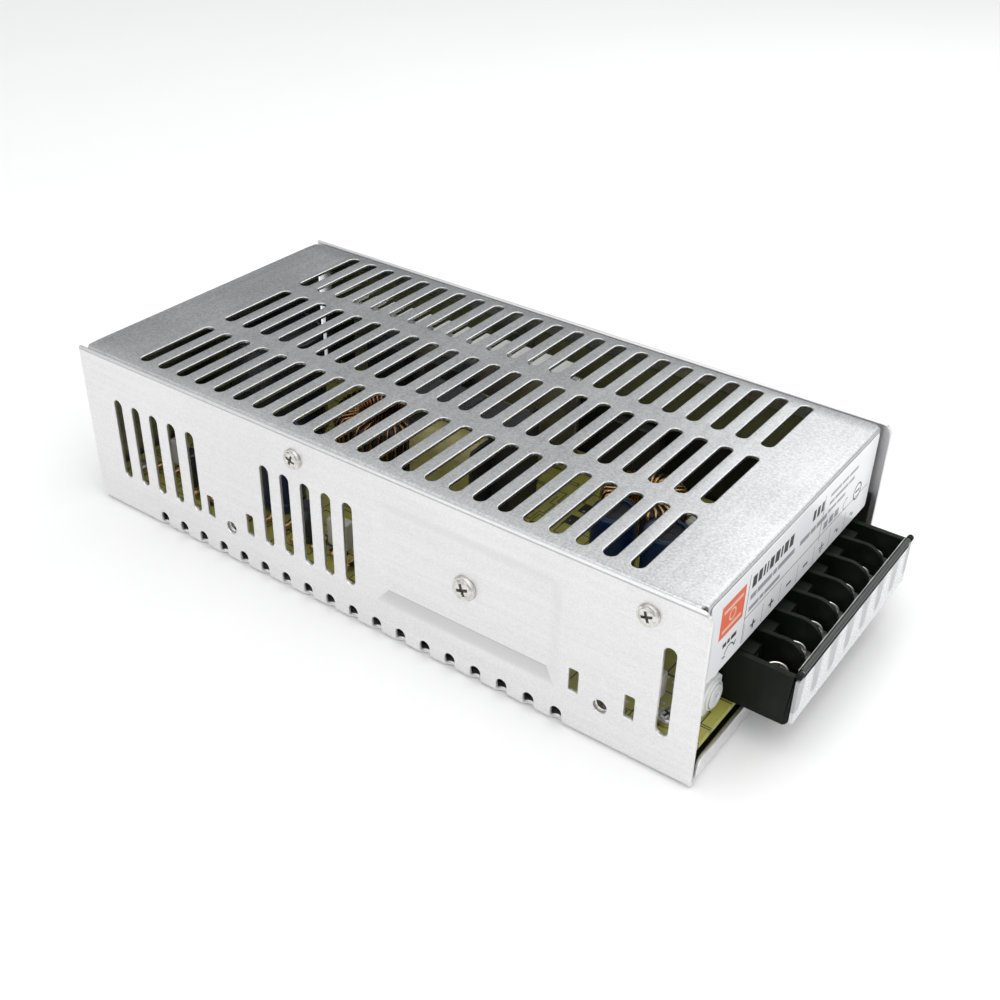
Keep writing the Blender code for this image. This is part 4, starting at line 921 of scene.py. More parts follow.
def milky_plastic():
    finish = Finish("milky_plastic", Transmission_Weight=0.12, IOR=1.49)
    spot = axes(finish, place(finish))
    from_divider = abs((spot[1] - poles[0] / MM) % (PITCH / MM) - 0.5 * PITCH / MM)
    drop = spot[2] * -1 + (hinge.z / MM - 1.8)
    half = 2.6 - 0.10 * drop
    # Painted shade: darker tongues where the dividers behind the plate stand, seen through the milky plastic.
    divider_shade = steps(finish, half - from_divider, -0.25, 0.35) * steps(finish, 9.2 - drop - 0.22 * from_divider * from_divider, -0.3, 0.5)
    cloud = grain(finish, 7.0, 3.0)
    tone = blend(finish, 0.85 * divider_shade, (0.80, 0.81, 0.83), (0.40, 0.41, 0.42))
    tone = blend(finish, 0.25 * cloud, tone, (0.70, 0.72, 0.73))
    fine = grain(finish, 0.5, 2.0)
    roughness = 0.20 + 0.12 * fine + 0.08 * divider_shade
    return finish.varies(Base_Color=tone, Roughness=roughness, Normal=bump(finish, fine, 0.01, 0.4))


def terminal_cover():
    low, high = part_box("terminal_shield")
    bm = bmesh.new()
    near, far = low.y, high.y
    end = 2.0 * MM
    head = hinge.z - 1.35 * MM
    x0, x1 = hinge.x - 0.5 * MM, hinge.x + 0.5 * MM
    line = [(near, low.z), (far, low.z), (far, head), (far - end, head), (far - end, hinge.z - 0.1 * MM)]
    line += [(near + end, hinge.z - 0.1 * MM), (near + end, head), (near, head)]
    slab(line, 0, x0, x1, 0.18 * MM, bm)
    pin = [(0.0, near + 0.25 * MM), (0.5 * MM, near + 0.25 * MM), (0.55 * MM, near + 0.4 * MM),
           (0.55 * MM, far - 0.4 * MM), (0.5 * MM, far - 0.25 * MM), (0.0, far - 0.25 * MM)]
    turned(pin[::-1], 16, bm, 1, (hinge.x, 0, hinge.z))
    rim = hinge.z + 0.5 * MM
    brick((x1 - 0.2 * MM, near + end, head - 0.3 * MM), (x1, far - end, rim), 0.05 * MM, bm)
    lip = hinge.x - 1.0 * MM
    brick((lip, near + end, rim - 0.4 * MM), (lip + 0.15 * MM, far - end, rim), 0.04 * MM, bm)
    return bm


def cover_bead():
    """The rod along the cover's top edge, coloured near black as painted shade."""
    low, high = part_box("terminal_shield")
    near, far = low.y + 2.0 * MM, high.y - 2.0 * MM
    bm = bmesh.new()
    rod = [(0.0, near), (0.78 * MM, near + 0.1 * MM), (0.78 * MM, far - 0.1 * MM), (0.0, far)]
    return turned(rod, 20, bm, 1, (hinge.x - 0.1 * MM, 0, hinge.z + 0.05 * MM))


MILKY = milky_plastic()
# The bead's near-black colour is painted shade, for the dark gap seen through the clear rod.
ROD_SHADE = nylon("rod_painted_dark", (0.020, 0.026, 0.020), 0.0)
shown("cover_bead", cover_bead(), ROD_SHADE, "shield", slot_name="shield_plastic", angle=35)
cover_strip = shown("terminal_cover", terminal_cover(), MILKY, "shield", "terminal_shield",
                    slot_name="shield_plastic", angle=35)
print("terminal cover", len(cover_strip.data.polygons), "faces")

# %% [markdown]
# ## The adjuster and the lamp
#
# A white nylon housing with a turned rotor sits in the corner of the board, and a milky lamp stands over
# it on two bent legs. Nylon lets light in a little way, so it gets some subsurface scatter.
# %% Nylon, lamp plastic and their pieces
WHITE_NYLON = nylon("white_nylon", (0.84, 0.85, 0.84), 0.25)
LAMP_PLASTIC = nylon("lamp_plastic", (0.80, 0.86, 0.80), 0.4)


def trimmer_housing():
    low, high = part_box("trimmer_body")
    centre = middle_of("trimmer_rotor")
    bm = bmesh.new()
    foot, step, nip = mm(0.6, 2.2, 1.6)
    side = [(high.y - foot, low.z), (high.y, low.z + step), (high.y, high.z - nip), (high.y - nip, high.z),
            (low.y + nip, high.z), (low.y, high.z - nip), (low.y, low.z + step), (low.y + foot, low.z)]
    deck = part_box("trimmer_rotor")[0].x + 1.3 * MM
    slab(side, 0, low.x, deck - 0.2 * MM, 0.4 * MM, bm)
    collar = ((3.5, -0.4), (3.9, -0.4), (3.9, 0.5), (3.7, 0.7), (3.5, 0.7), (3.5, -0.4))
    turned([mm(*spot) for spot in collar], 32, bm, 0, (deck - 0.3 * MM, centre.y, centre.z))
    return bm


def trimmer_dial():
    low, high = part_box("trimmer_rotor")
    centre = (low + high) / 2
    bm = bmesh.new()
    reach = (high.x - low.x) / MM
    profile = ((0.0, reach - 0.35), (1.55, reach - 0.35), (1.7, reach - 0.05), (2.9, reach - 0.05),
               (3.15, reach - 0.3), (3.15, 0.1), (3.1, 0.0), (0.0, 0.0))
    turned([mm(*spot) for spot in profile], 36, bm, 0, (low.x, centre.y, centre.z))
    for turn in (0, 1):
        half = (1.5 * MM, 0.28 * MM) if turn else (0.28 * MM, 1.5 * MM)
        brick((high.x - 0.45 * MM, centre.y - half[0], centre.z - half[1]),
              (high.x - 0.12 * MM, centre.y + half[0], centre.z + half[1]), 0.06 * MM, bm)
    return bm


def lamp():
    low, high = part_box("pilot_lamp")
    bm = bmesh.new()
    radius = 2.5 * MM
    centre_y, centre_z = (low.y + high.y) / 2, high.z - radius - 0.4 * MM
    nose = high.x - radius
    back = high.x - 7.0 * MM
    profile = [(0.0, high.x)] + [(x, nose + y) for y, x in arc((0, 0), radius, 15, 90, 5)]
    rim = radius + 0.35 * MM
    profile += [(radius, back + MM), (rim, back + MM), (rim, back + 0.1 * MM), (0.0, back)]
    turned(profile, 36, bm, 0, (0, centre_y, centre_z))
    return bm


shown("adjuster_housing", trimmer_housing(), WHITE_NYLON, "case", "trimmer_body", slot_name="trimmer_body",
      angle=35)
DIAL_NYLON = nylon("pale_dial", (0.74, 0.76, 0.76), 0.1)
shown("adjuster_dial", trimmer_dial(), DIAL_NYLON, "adjuster", "trimmer_rotor",
      slot_name="trimmer_rotor", angle=35)
LEG_HALF = 0.25 * MM
lamp_legs = bmesh.new()
lamp_low, lamp_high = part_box("pilot_lamp")
for side in (-1, 1):
    y = (lamp_low.y + lamp_high.y) / 2 + side * 1.27 * MM
    back = lamp_high.x - 7.0 * MM
    drop = lamp_high.z - 2.9 * MM
    near, far = y - LEG_HALF, y + LEG_HALF
    rear = back - 2.0 * MM
    brick((rear, near, drop - LEG_HALF), (back + 0.3 * MM, far, drop + LEG_HALF), 0.05 * MM, lamp_legs)
    brick((rear, near, lamp_low.z), (back - 1.5 * MM, far, drop), 0.05 * MM, lamp_legs)
shown("lamp_legs", lamp_legs, TIN, "case", slot_name="lamp_lens", smooth=False)
shown("lamp", lamp(), LAMP_PLASTIC, "case", "pilot_lamp", slot_name="lamp_lens", angle=35)
print("adjuster and lamp placed")

# %% [markdown]
# ## The printed label
#
# The film on the front flange carries the ratings. Its marks here are plain: a warm coloured square,
# ruled lines, grey bars in place of words, and the symbols that any such label needs over its terminals.
# Each mark is a sliver of ink on the film, so it stays crisp from any distance.
# %% Film and inks
def film(name, colour, dullness):
    finish = Finish(name, Coat_Weight=0.4, Coat_Roughness=0.15)
    cloud = grain(finish, 12.0, 3.0)
    fine = grain(finish, 0.3, 2.0)
    tone = blend(finish, cloud, shade(colour, 0.93), colour)
    relief = bump(finish, fine, 0.006, 0.4)
    return finish.varies(Base_Color=tone, Roughness=dullness + 0.08 * fine, Normal=relief)


FILM = film("label_film_silver", (0.90, 0.905, 0.93), 0.36)
INKS = {"black": film("black_ink", (0.03, 0.03, 0.035), 0.45),
        "grey": film("grey_ink", (0.33, 0.34, 0.36), 0.45),
        "warm": film("warm_ink", (0.82, 0.16, 0.07), 0.42),
        "pale": film("pale_ink", (0.86, 0.55, 0.46), 0.42)}
label_low, label_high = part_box("front_label")
INK_FACE = label_high.x


def film_sheet():
    bm = bmesh.new()
    corners = round_box((label_low.y, label_low.z), (label_high.y, label_high.z), 0.8 * MM, 4)
    return slab(corners, 0, label_low.x, label_high.x, 0.0, bm)


shown("label", film_sheet(), FILM, "case", "front_label", slot_name="label_film", angle=35)
print("label is %.1f x %.1f mm" % ((label_high.y - label_low.y) / MM, (label_high.z - label_low.z) / MM))

# %% Marks on the label
marks = {ink: bmesh.new() for ink in INKS}


def coat(ink):
    """How far the ink stands off the film; the pale ink is printed over the warm one."""
    return (0.03 if ink == "pale" else 0.015) * MM


def mark(ink, across, up, width, height, slant=0.0):
    """A bar of ink; across is from the label's near edge and up from its foot, in millimetres."""
    y, z = label_low.y + across * MM, label_low.z + up * MM
    w, h, s = width * MM, height * MM, slant * MM
    outline = [(y, z), (y + w, z), (y + w + s, z + h), (y + s, z + h)]
    slab(outline, 0, INK_FACE, INK_FACE + coat(ink), 0.0, marks[ink])


def words(ink, across, up, widths, height, gap=0.5):
    """A run of short bars that stands in for a line of words."""
    for width in widths:
        mark(ink, across, up, width, height)
        across += width + gap


def round_mark(ink, across, up, radius, stroke, start=0, end=360):
    """An arc of ink."""
    y, z = label_low.y + across * MM, label_low.z + up * MM
    outer = arc((y, z), radius * MM, start, end, 20)
    inner = arc((y, z), (radius - stroke) * MM, end, start, 20)
    slab(outer + inner, 0, INK_FACE, INK_FACE + coat(ink), 0.0, marks[ink])


def pole_marks():
    """Plus, minus, earth and mains signs over their terminals, and ticks between the bays."""
    for number, y in enumerate(poles):
        across = (y - label_low.y) / MM
        mark("grey", across - PITCH / MM / 2 - 0.1, 0.6, 0.2, 5.4)
        if number < 4:
            mark("black", across - 1.3, 2.9, 2.6, 0.6)
        if number < 2:
            mark("black", across - 0.3, 1.9, 0.6, 2.6)
        if number == 4:
            for row, half in enumerate((1.5, 1.0, 0.5)):
                mark("black", across - half, 3.0 - 0.8 * row, 2 * half, 0.35)
            mark("black", across - 0.2, 3.2, 0.4, 1.4)
        if number > 4:
            round_mark("black", across - 0.65, 3.0, 0.75, 0.35, 0, 180)
            round_mark("black", across + 0.45, 3.0, 0.75, 0.35, 180, 360)


# Bars as (ink, across, down, width, height), with down from the film's top.
BARS = (("warm", 5.4, 12.6, 11.4, 9.2), ("pale", 6.6, 6.0, 9.0, 0.9), ("pale", 6.6, 11.4, 9.0, 0.9),
        ("black", 80.6, 13.2, 2.8, 0.6), ("black", 52.0, 6.4, 1.5, 3.0), ("black", 54.4, 6.4, 1.5, 3.0),
        ("black", 56.8, 6.4, 1.5, 3.0))
# Lines of words as (ink, across, down, height, gap, widths).
LINES = (("black", 20.0, 6.8, 3.2, 0.75, (2.2, 1.9, 0.9, 0.7, 2.1, 2.2, 0.9, 2.2, 2.1)),
         ("grey", 20.0, 10.2, 1.5, 0.5, (3.0, 7.5, 2.0, 9.0)),
         ("grey", 46.0, 10.2, 1.5, 0.5, (5.5, 3.0, 6.0)),
         ("grey", 62.0, 4.6, 1.0, 0.5, (6.5, 4.0, 5.5)), ("grey", 62.0, 7.0, 1.0, 0.5, (3.0, 8.0, 3.5)),
         ("grey", 62.0, 9.4, 1.0, 0.5, (5.0, 5.0)), ("grey", 20.0, 13.4, 1.2, 0.5, (5.0, 2.0, 8.0)),
         ("grey", 60.6, 13.6, 2.2, 1.0, (2.4, 2.4, 2.4)))


def label_marks():
    width, height = (label_high.y - label_low.y) / MM, (label_high.z - label_low.z) / MM
    for ink, across, down, wide, tall in BARS:
        mark(ink, across, height - down, wide, tall)
    for ink, across, down, tall, gap, widths in LINES:
        words(ink, across, height - down, widths, tall, gap)
    words("black", 8.2, 6.0, (1.8, 1.2, 2.6), 1.2)
    mark("black", 18.4, height - 14.6, width - 20.4, 0.18)
    mark("black", 18.4, 0.8, 0.18, height - 3.0)
    mark("black", 58.6, 6.6, 0.18, height - 9.0)
    round_mark("pale", 11.1, height - 8.1, 1.7, 0.5)
    round_mark("black", 82.0, height - 13.0, 2.6, 0.5)
    round_mark("grey", 74.5, height - 13.0, 1.8, 0.4, 60, 300)
    round_mark("black", 12.0, 2.6, 2.6, 0.35, 20, 160)
    mark("black", 9.0, 2.6, 1.3, 0.5, -0.4)
    mark("black", 14.2, 3.2, 0.5, 1.2, 0.5)
    pole_marks()


label_marks()
for ink, bm in marks.items():
    shown("print_" + ink, bm, INKS[ink], "case", slot_name="label_film", smooth=False)
print("label printed in", list(INKS))

# %% [markdown]
# ## Inside the case
#
# Through the slots one sees slivers of a crowded board. A few true shapes do most of the work there: wire
# that really goes round its core, sleeves that roll over the tops of their cans, and tabs that stand up
# from the heatsink. First the finishes: mostly dark, with an olive board. The far sheet and the can tops
# are painted dark as shade, and the heatsink tabs are painted pale as a highlight.
# %% Finishes inside
def coated(name, low, high, dullness, size, metal=0.0, coat=0.0):
    """Any plain coating: two near tones in lumps of a given size, and the same lumps as relief."""
    finish = Finish(name, Metallic=metal, Coat_Weight=coat, Coat_Roughness=0.12)
    spots = grain(finish, size, 3.0)
    dust = steps(finish, grain(finish, 11.0, 4.0), 0.5, 0.75)
    tone = blend(finish, spots, low, high)
    return finish.varies(Base_Color=tone, Roughness=dullness + 0.15 * (spots - 0.5) + 0.12 * dust,
                         Normal=bump(finish, spots, 0.01, 0.6))


def board_mask():
    """Solder mask over a glass weave, with printed boxes and round pads."""
    finish = Finish("board_mask", Coat_Weight=0.25, Coat_Roughness=0.2)
    spot = place(finish)
    cells, dots = [finish.node("ShaderNodeTexVoronoi", {"feature": "F1", "distance": distance},
                               {"Vector": spot, "Scale": scale, "Randomness": randomness}, output="Distance")
                   for distance, scale, randomness in (("CHEBYCHEV", 0.16, 0.6), ("EUCLIDEAN", 0.28, 0.8))]
    printed = steps(finish, cells, 0.40, 0.42) * (1 - steps(finish, cells, 0.45, 0.47))
    pads = 1 - steps(finish, dots, 0.15, 0.17)
    weave = grain(finish, 0.5, 2.0, (1.0, 0.3, 1.0))
    tone = blend(finish, weave, (0.33, 0.325, 0.06), (0.46, 0.445, 0.10))
    tone = blend(finish, printed, tone, (0.02, 0.02, 0.02))
    tone = blend(finish, pads, tone, (0.55, 0.54, 0.50))
    roughness, relief = 0.42 - 0.12 * pads + 0.1 * weave, bump(finish, pads + 0.2 * weave, 0.05, 0.6)
    return finish.varies(Base_Color=tone, Metallic=0.7 * pads, Roughness=roughness, Normal=relief)


INSIDE = {
    "circuit_board": board_mask(),
    "black_film": coated("black_film", (0.010, 0.011, 0.010), (0.020, 0.021, 0.019), 0.38, 3.0),
    "contact_plate": TIN,
    "terminal_steel": NICKEL,
    "zinc_screw": ZINC,
    "bare_aluminium": BAR_SKIN,
    "ferrite": coated("ferrite", (0.020, 0.020, 0.022), (0.045, 0.045, 0.05), 0.55, 0.8),
    "winding_tape": coated("winding_tape", (0.34, 0.31, 0.10), (0.50, 0.47, 0.20), 0.3, 5.0, coat=0.3),
    "epoxy_package": coated("epoxy_package", (0.012, 0.012, 0.013), (0.028, 0.028, 0.030), 0.5, 0.3),
    "dark_sleeve": coated("dark_sleeve", (0.012, 0.014, 0.022), (0.022, 0.025, 0.040), 0.28, 6.0, coat=0.3),
    "blue_sleeve": coated("blue_sleeve", (0.006, 0.022, 0.075), (0.010, 0.036, 0.12), 0.3, 6.0, coat=0.2),
    "copper_winding": coated("copper_winding", (0.26, 0.12, 0.055), (0.46, 0.25, 0.12), 0.24, 2.0, 1.0),
    "gold_winding": coated("gold_winding", (0.62, 0.38, 0.15), (0.80, 0.55, 0.26), 0.26, 2.0, 1.0),
    "capacitor_case": coated("capacitor_case", (0.52, 0.52, 0.47), (0.66, 0.66, 0.60), 0.4, 4.0),
    "fuse_body": coated("fuse_body", (0.50, 0.49, 0.44), (0.62, 0.61, 0.56), 0.2, 3.0, coat=0.4),
}
# Painted shade: the cans' bare aluminium tops are tinted near black for the shade inside the case.
DARK_CAN_TOPS = coated("can_tops_painted_dark", (0.03, 0.03, 0.033), (0.06, 0.06, 0.065), 0.45, 2.0, 1.0)
# Painted shade: a dark olive sheet that darkens what shows through the far row of vents.
FAR_SHADE = coated("far_sheet_painted_dark", (0.075, 0.080, 0.032), (0.17, 0.175, 0.070), 0.45, 9.0)
# Painted highlight: the aluminium heatsink tabs get a near-white diffuse colour for the light they catch
# through the slots.
LIT_TABS = coated("tabs_painted_lit", (0.90, 0.90, 0.88), (0.97, 0.97, 0.96), 0.4, 2.0)
print("inside finishes", len(INSIDE))

# %% The working model's own pieces take them by slot
for holder in frame["nodes"].values():
    wanted = INSIDE.get(holder.data.materials[0].name)
    if wanted:
        holder.data.materials[0] = wanted
print("slots filled")

# %% [markdown]
# A choke is a ring of ferrite with wire laid round it. The wire is one curve: it goes round the ring's
# section once per turn while it travels along the ring, and its thickness comes from the curve's own
# bevel.
# %% Wound rings
POINTS_A_TURN, SQUARENESS = 12, 1.35


def wound_ring(name, node, slot_name, wire, turns, windings=1, gap=18):
    low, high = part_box(node)
    centre = middle_of(node)
    outer = (high.x - low.x) / 2 - 2 * wire
    height = (high.z - low.z) / 2 - 2 * wire
    inner = 0.52 * outer
    section = box_line((inner, -height), (outer, height))
    bm = turned([section[0], *section[:0:-1], section[0]], 48, centre=centre)
    shown(name + "_ring", soften(bm, 0.8 * MM), INSIDE["ferrite"], "case", slot_name="ferrite")
    curve = bpy.data.curves.new(name, "CURVE")
    curve.dimensions, curve.bevel_depth, curve.bevel_resolution = "3D", wire, 1
    mid, half = (outer + inner) / 2, (outer - inner) / 2
    sweep = 360 / windings - gap
    for part in range(windings):
        count = int(turns / windings) * POINTS_A_TURN
        spline = curve.splines.new("POLY")
        spline.points.add(count)
        for i, point in enumerate(spline.points):
            along = math.radians(part * 360 / windings + gap / 2 + sweep * i / count)
            round_turn = 2 * math.pi * i / POINTS_A_TURN
            c, s = math.cos(round_turn), math.sin(round_turn)
            reach = mid + (half + wire) * max(-1.0, min(1.0, SQUARENESS * c))
            rise = (height + wire) * max(-1.0, min(1.0, SQUARENESS * s))
            spot = centre + Vector((reach * math.cos(along), reach * math.sin(along), rise))
            point.co = (*spot, 1)
    bm = poured(finished_mesh(added(name, curve)), bmesh.new())
    shown(name + "_wire", bm, INSIDE[slot_name], "case", node, slot_name=slot_name)


wound_ring("output_choke", "output_choke", "copper_winding", 0.75 * MM, 26)
wound_ring("boost_choke", "boost_choke", "copper_winding", 0.55 * MM, 36)
wound_ring("filter_choke", "line_filter_choke", "gold_winding", 0.5 * MM, 28, 2, 30)
print("chokes wound")

# %% Sleeved capacitors
def sleeved_can(name, slot_name):
    """A can in a shrunk sleeve: a groove near the foot, a rolled rim and a bare scored top."""
    low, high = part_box(name)
    radius = min(high.x - low.x, high.y - low.y) / 2
    centre = middle_of(name)
    centre.z = low.z
    height = high.z - low.z
    r, h = radius / MM, height / MM
    sleeve = ((0.0, 0.0), (r - 0.5, 0.0), (r, 0.5), (r, 2.4), (r - 0.6, 3.0), (r, 3.6), (r, h - 0.9),
              (r - 0.3, h - 0.3), (r - 0.9, h - 0.05), (r - 1.5, h - 0.15), (r - 1.5, h - 1.0))
    bm = turned([mm(*spot) for spot in sleeve], 40, centre=centre)
    shown(name + "_sleeve", bm, INSIDE[slot_name], "case", name, slot_name=slot_name, angle=50)
    top = ((0.0, h - 0.55), (r - 1.9, h - 0.45), (r - 1.45, h - 0.7))
    lid_bm = turned([mm(*spot) for spot in top], 40, centre=centre)
    for turn in (0, 1):
        reach = radius * 0.6
        half = (reach, 0.12 * MM) if turn else (0.12 * MM, reach)
        brick((centre[0] - half[0], centre[1] - half[1], centre[2] + height - 0.7 * MM),
              (centre[0] + half[0], centre[1] + half[1], centre[2] + height - 0.42 * MM), 0.03 * MM, lid_bm)
    shown(name + "_top", lid_bm, DARK_CAN_TOPS, "case", slot_name="bare_aluminium")


sleeved_can("bulk_capacitor", "dark_sleeve")
for i in (1, 2, 3):
    sleeved_can("output_capacitor_%d" % i, "blue_sleeve")
print("capacitors sleeved")

# %% [markdown]
# The heatsink is a plate with short tabs folded over at its top, and the transformer is a block of
# ferrite whose taped winding bulges out on both sides between two bobbin flanges.
# %% Heatsink and transformer
def heatsink():
    low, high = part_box("switch_heatsink")
    high.z += 2.6 * MM
    bm = bmesh.new()
    count = 12
    pitch = (high.x - low.x) / count
    for i in range(count):
        x = low.x + pitch * (i + 0.5)
        inner, outer, under, foot = low.y + 0.5 * MM, high.y - 0.2 * MM, high.z - 1.4 * MM, high.z - 4.0 * MM
        side = [(inner, under), (outer, under), (outer, high.z), (low.y + MM, high.z),
                (low.y, high.z - 0.5 * MM), (low.y, foot), (inner, foot)]
        slab(side, 0, x - 0.28 * pitch, x + 0.28 * pitch, 0.15 * MM, bm)
    return bm


def taped_transformer():
    low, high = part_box("transformer_core")
    bm = bmesh.new()
    middle = (low.x + high.x) / 2
    brick(low, (middle - 0.05 * MM, high.y, high.z), 0.6 * MM, bm)
    brick((middle + 0.05 * MM, low.y, low.z), high, 0.6 * MM, bm)
    shown("transformer_ferrite", bm, INSIDE["ferrite"], "case", "transformer_core",
          slot_name="ferrite", angle=45)
    low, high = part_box("transformer_winding")
    bm = bmesh.new()
    line = round_box((low.y, low.z), (high.y, high.z), 5.0 * MM, 8)
    slab(line, 0, low.x + 1.2 * MM, high.x - 1.2 * MM, 0.3 * MM, bm)
    shown("transformer_tape", bm, INSIDE["winding_tape"], "case", "transformer_winding",
          slot_name="winding_tape", angle=45)
    bm = bmesh.new()
    for x in (low.x, high.x - MM):
        slab(round_box((low.y, low.z), (high.y, high.z), 1.2 * MM, 4), 0, x, x + MM, 0.2 * MM, bm)
    shown("bobbin_flanges", bm, INSIDE["epoxy_package"], "case", slot_name="epoxy_package", angle=45)


def heatsink_plate():
    low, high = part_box("switch_heatsink")
    return brick((low.x, high.y - 2.0 * MM, low.z), (high.x, high.y, high.z - 1.5 * MM), 0.3 * MM)


def far_shade_panel():
    """A dark olive sheet behind the heatsink, above the film, put there as painted shade for the far row of
    vents.
    """
    film_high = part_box("insulating_film")[1]
    return brick((REAR + 6.0 * MM, film_high.y - 0.5 * MM, film_high.z + 0.3 * MM),
                 (FRONT - 8.0 * MM, film_high.y - 0.2 * MM, TOP - 3.0 * MM), 0.05 * MM)


def heatsink_pieces():
    shown("heatsink_plate", heatsink_plate(), BAR_SKIN, "case", "switch_heatsink",
          slot_name="bare_aluminium", angle=45)
    shown("heatsink_tabs", heatsink(), LIT_TABS, "case", slot_name="bare_aluminium", angle=45)
    shown("far_shade_sheet", far_shade_panel(), FAR_SHADE, "case", slot_name="black_film", smooth=False)


heatsink_pieces()
taped_transformer()
print("heatsink and transformer made")

# %% Small parts that stand on the board
BOARD_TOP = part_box("circuit_board")[1].z
UPRIGHTS = (("film", -88.0, -34.0, 6.0, 9.0), ("can", -78.5, -38.5, 5.0, 11.0),
            ("film", -70.0, -36.0, 4.0, 8.0), ("can", -33.0, -38.0, 6.3, 11.0),
            ("film", -23.0, -36.5, 7.0, 9.5), ("can", -12.5, -39.0, 5.0, 11.0),
            ("film", 74.5, -36.5, 5.5, 8.0), ("can", 66.5, -30.0, 5.0, 9.0),
            ("film", 76.0, 3.0, 5.0, 10.0), ("film", -60.0, -18.0, 6.0, 8.0),
            ("can", -38.0, -16.0, 6.3, 11.0), ("film", 76.5, 28.0, 6.0, 12.0))


def small_parts():
    """Small film and can capacitors, as (kind, x, y, size, height) in millimetres."""
    films, cans = bmesh.new(), bmesh.new()
    for kind, x, y, size, height in UPRIGHTS:
        base = BOARD_TOP + 0.3 * MM
        if kind == "film":
            low = (x * MM - size * MM / 2, y * MM - size * MM / 4, base + MM)
            brick(low, (low[0] + size * MM, low[1] + size * MM / 2, base + height * MM), 0.6 * MM, films)
        else:
            r, top = size / 2, height
            profile = ((0, 0), (r - 0.3, 0), (r, 0.3), (r, top - 0.4), (r - 0.5, top), (r - 1, top - 0.2),
                       (0, top - 0.2))
            turned([mm(*spot) for spot in profile], 24, cans, centre=(x * MM, y * MM, base))
    shown("small_film_parts", films, INSIDE["capacitor_case"], "case", slot_name="capacitor_case", angle=45)
    shown("small_cans", cans, INSIDE["dark_sleeve"], "case", slot_name="dark_sleeve", angle=45)


def flat_resistors():
    """A row of small brown resistors lying on the board behind the near wall."""
    bm = bmesh.new()
    for i in range(14):
        x = (-92.0 + 6.4 * i) * MM
        half = ((0.9, 1.3), (1.1, 1.7), (1.1, 2.5), (0.8, 2.9), (0, 3.0))
        profile = [mm(r, -z) for r, z in half[::-1]] + [mm(*spot) for spot in half]
        turned(profile, 14, bm, 1, (x, SIDE + (8.6 + 0.9 * (i % 3)) * MM, BOARD_TOP + 1.6 * MM))
    shown("resistors", bm, INSIDE["gold_winding"], "case", slot_name="gold_winding")


small_parts()
flat_resistors()
print("small parts:", len(UPRIGHTS), "upright and 14 lying")

# %% [markdown]
# ## Threads in the mounting holes
#
# The mounting bores are tapped: each has a short collar behind the sheet with a thread cut in it.
# %% Collars
def tapped_collar(x, y, z, facing):
    """A short threaded tube behind the sheet."""
    profile = [(2.6 * MM, 0.0)]
    for i in range(6):
        profile += [(1.75 * MM, 0.5 * MM * i), (1.45 * MM, 0.5 * MM * i + 0.25 * MM)]
    profile += [(1.75 * MM, 3.0 * MM), (2.5 * MM, 3.0 * MM), (2.6 * MM, 2.8 * MM), (2.6 * MM, 0.0)]
    bm = turned([(radius, facing * depth) for radius, depth in profile], 24, axis=1, centre=(x, y, z))
    bmesh.ops.recalc_face_normals(bm, faces=bm.faces)
    return bm


collars = bmesh.new()
for x in MOUNT_PLACES:
    joined(tapped_collar(x, SIDE + WALL, MOUNT_HEIGHT, 1), collars)
    joined(tapped_collar(x, FAR_SIDE - WALL, MOUNT_HEIGHT, -1), collars)
shown("tapped_collars", collars, NICKEL, "case", slot_name="chassis_aluminium")
print("collars made")

# %% [markdown]
# ## Floor, light and camera
#
# A product shot on white needs a pale floor that runs out of view, a large soft light above and a pale
# room for the metal to reflect. The room is brighter high up, so the lid is whiter where it reflects the
# ceiling.
# %% Floor
def pale_floor():
    finish = Finish("pale_floor", Roughness=0.9)
    tone = grain(finish, 60.0, 2.0)
    material = finish.varies(Base_Color=blend(finish, tone, (0.90, 0.90, 0.90), (0.92, 0.92, 0.92)))
    bm = bmesh.new()
    bmesh.ops.create_grid(bm, x_segments=1, y_segments=1, size=4.0)
    floor = added("floor", mesh_from("floor", bm))
    floor.data.materials.append(material)
    floor.location.z = -0.2 * MM


pale_floor()
print("floor laid")

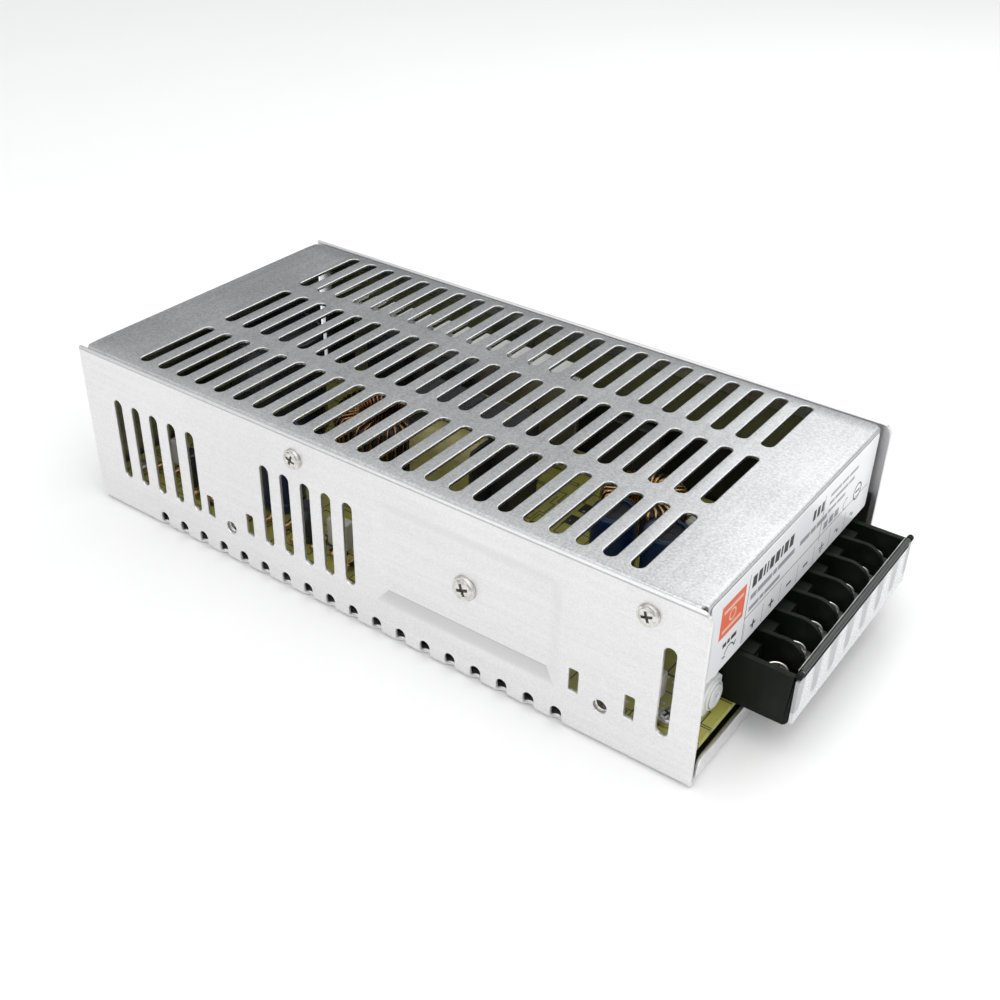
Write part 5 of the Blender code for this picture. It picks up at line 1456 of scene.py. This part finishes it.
# %% Lights and room
def soft_light(name, spot, aim, size, power):
    lamp = bpy.data.lights.new(name, "AREA")
    lamp.shape = "RECTANGLE"
    lamp.size, lamp.size_y = size
    lamp.energy = power
    holder = added(name, lamp)
    holder.location = spot
    direction = Vector(aim) - Vector(spot)
    holder.rotation_euler = direction.to_track_quat("-Z", "Y").to_euler()


def pale_room():
    world = bpy.data.worlds.new("pale room")
    bpy.context.scene.world = world
    world.use_nodes = True
    room = Sheet(world.node_tree)
    up = axes(room, room.node("ShaderNodeTexCoord", output="Generated"))[2]
    stops = ((0.40, (0.22, 0.23, 0.235)), (0.68, (1.0, 1.0, 1.0)))
    tone = room.node("ShaderNodeValToRGB", {"stops": stops}, {0: up})
    background = world.node_tree.nodes["Background"]
    room.feed(background.inputs[0], tone)
    background.inputs["Strength"].default_value = 1.0


pale_room()
soft_light("top_light", (0.25, -0.35, 0.9), (0, 0, 0.02), (1.2, 1.2), 4.0)
soft_light("side_light", (-0.35, -0.9, 0.45), (0, 0, 0.03), (0.8, 0.6), 1.4)
soft_light("front_light", (0.95, -0.15, 0.35), (0.05, 0, 0.03), (0.8, 0.6), 1.3)
soft_light("back_light", (0.02, 0.50, 0.48), (0.09, -0.03, 0.05), (0.34, 0.34), 0.62)
soft_light("rim_light", (0.62, 0.72, 0.52), (0, 0, 0.05), (0.7, 0.5), 1.7)
print("room lit")

# %% Camera
CAMERA_PLACE = (0.1740, -0.2434, 0.2137)
AZIMUTH, DIP, ROLL = math.radians(34.99), math.radians(33.51), math.radians(1.40)
LENS = 46.08


def make_camera():
    camera = bpy.data.cameras.new("camera")
    camera.lens, camera.sensor_width, camera.clip_start = LENS, 36.0, 0.01
    holder = added("camera", camera)
    ahead = Vector((-math.sin(AZIMUTH) * math.cos(DIP), math.cos(AZIMUTH) * math.cos(DIP), -math.sin(DIP)))
    level = Vector((math.cos(AZIMUTH), math.sin(AZIMUTH), 0.0))
    right = level * math.cos(ROLL) + level.cross(ahead) * math.sin(ROLL)
    up = right.cross(ahead)
    holder.matrix_world = Matrix.Translation(CAMERA_PLACE) @ Matrix((right, up, -ahead)).transposed().to_4x4()
    bpy.context.scene.camera = holder


make_camera()
bpy.context.scene.view_settings.view_transform = "Standard"
print("camera set")
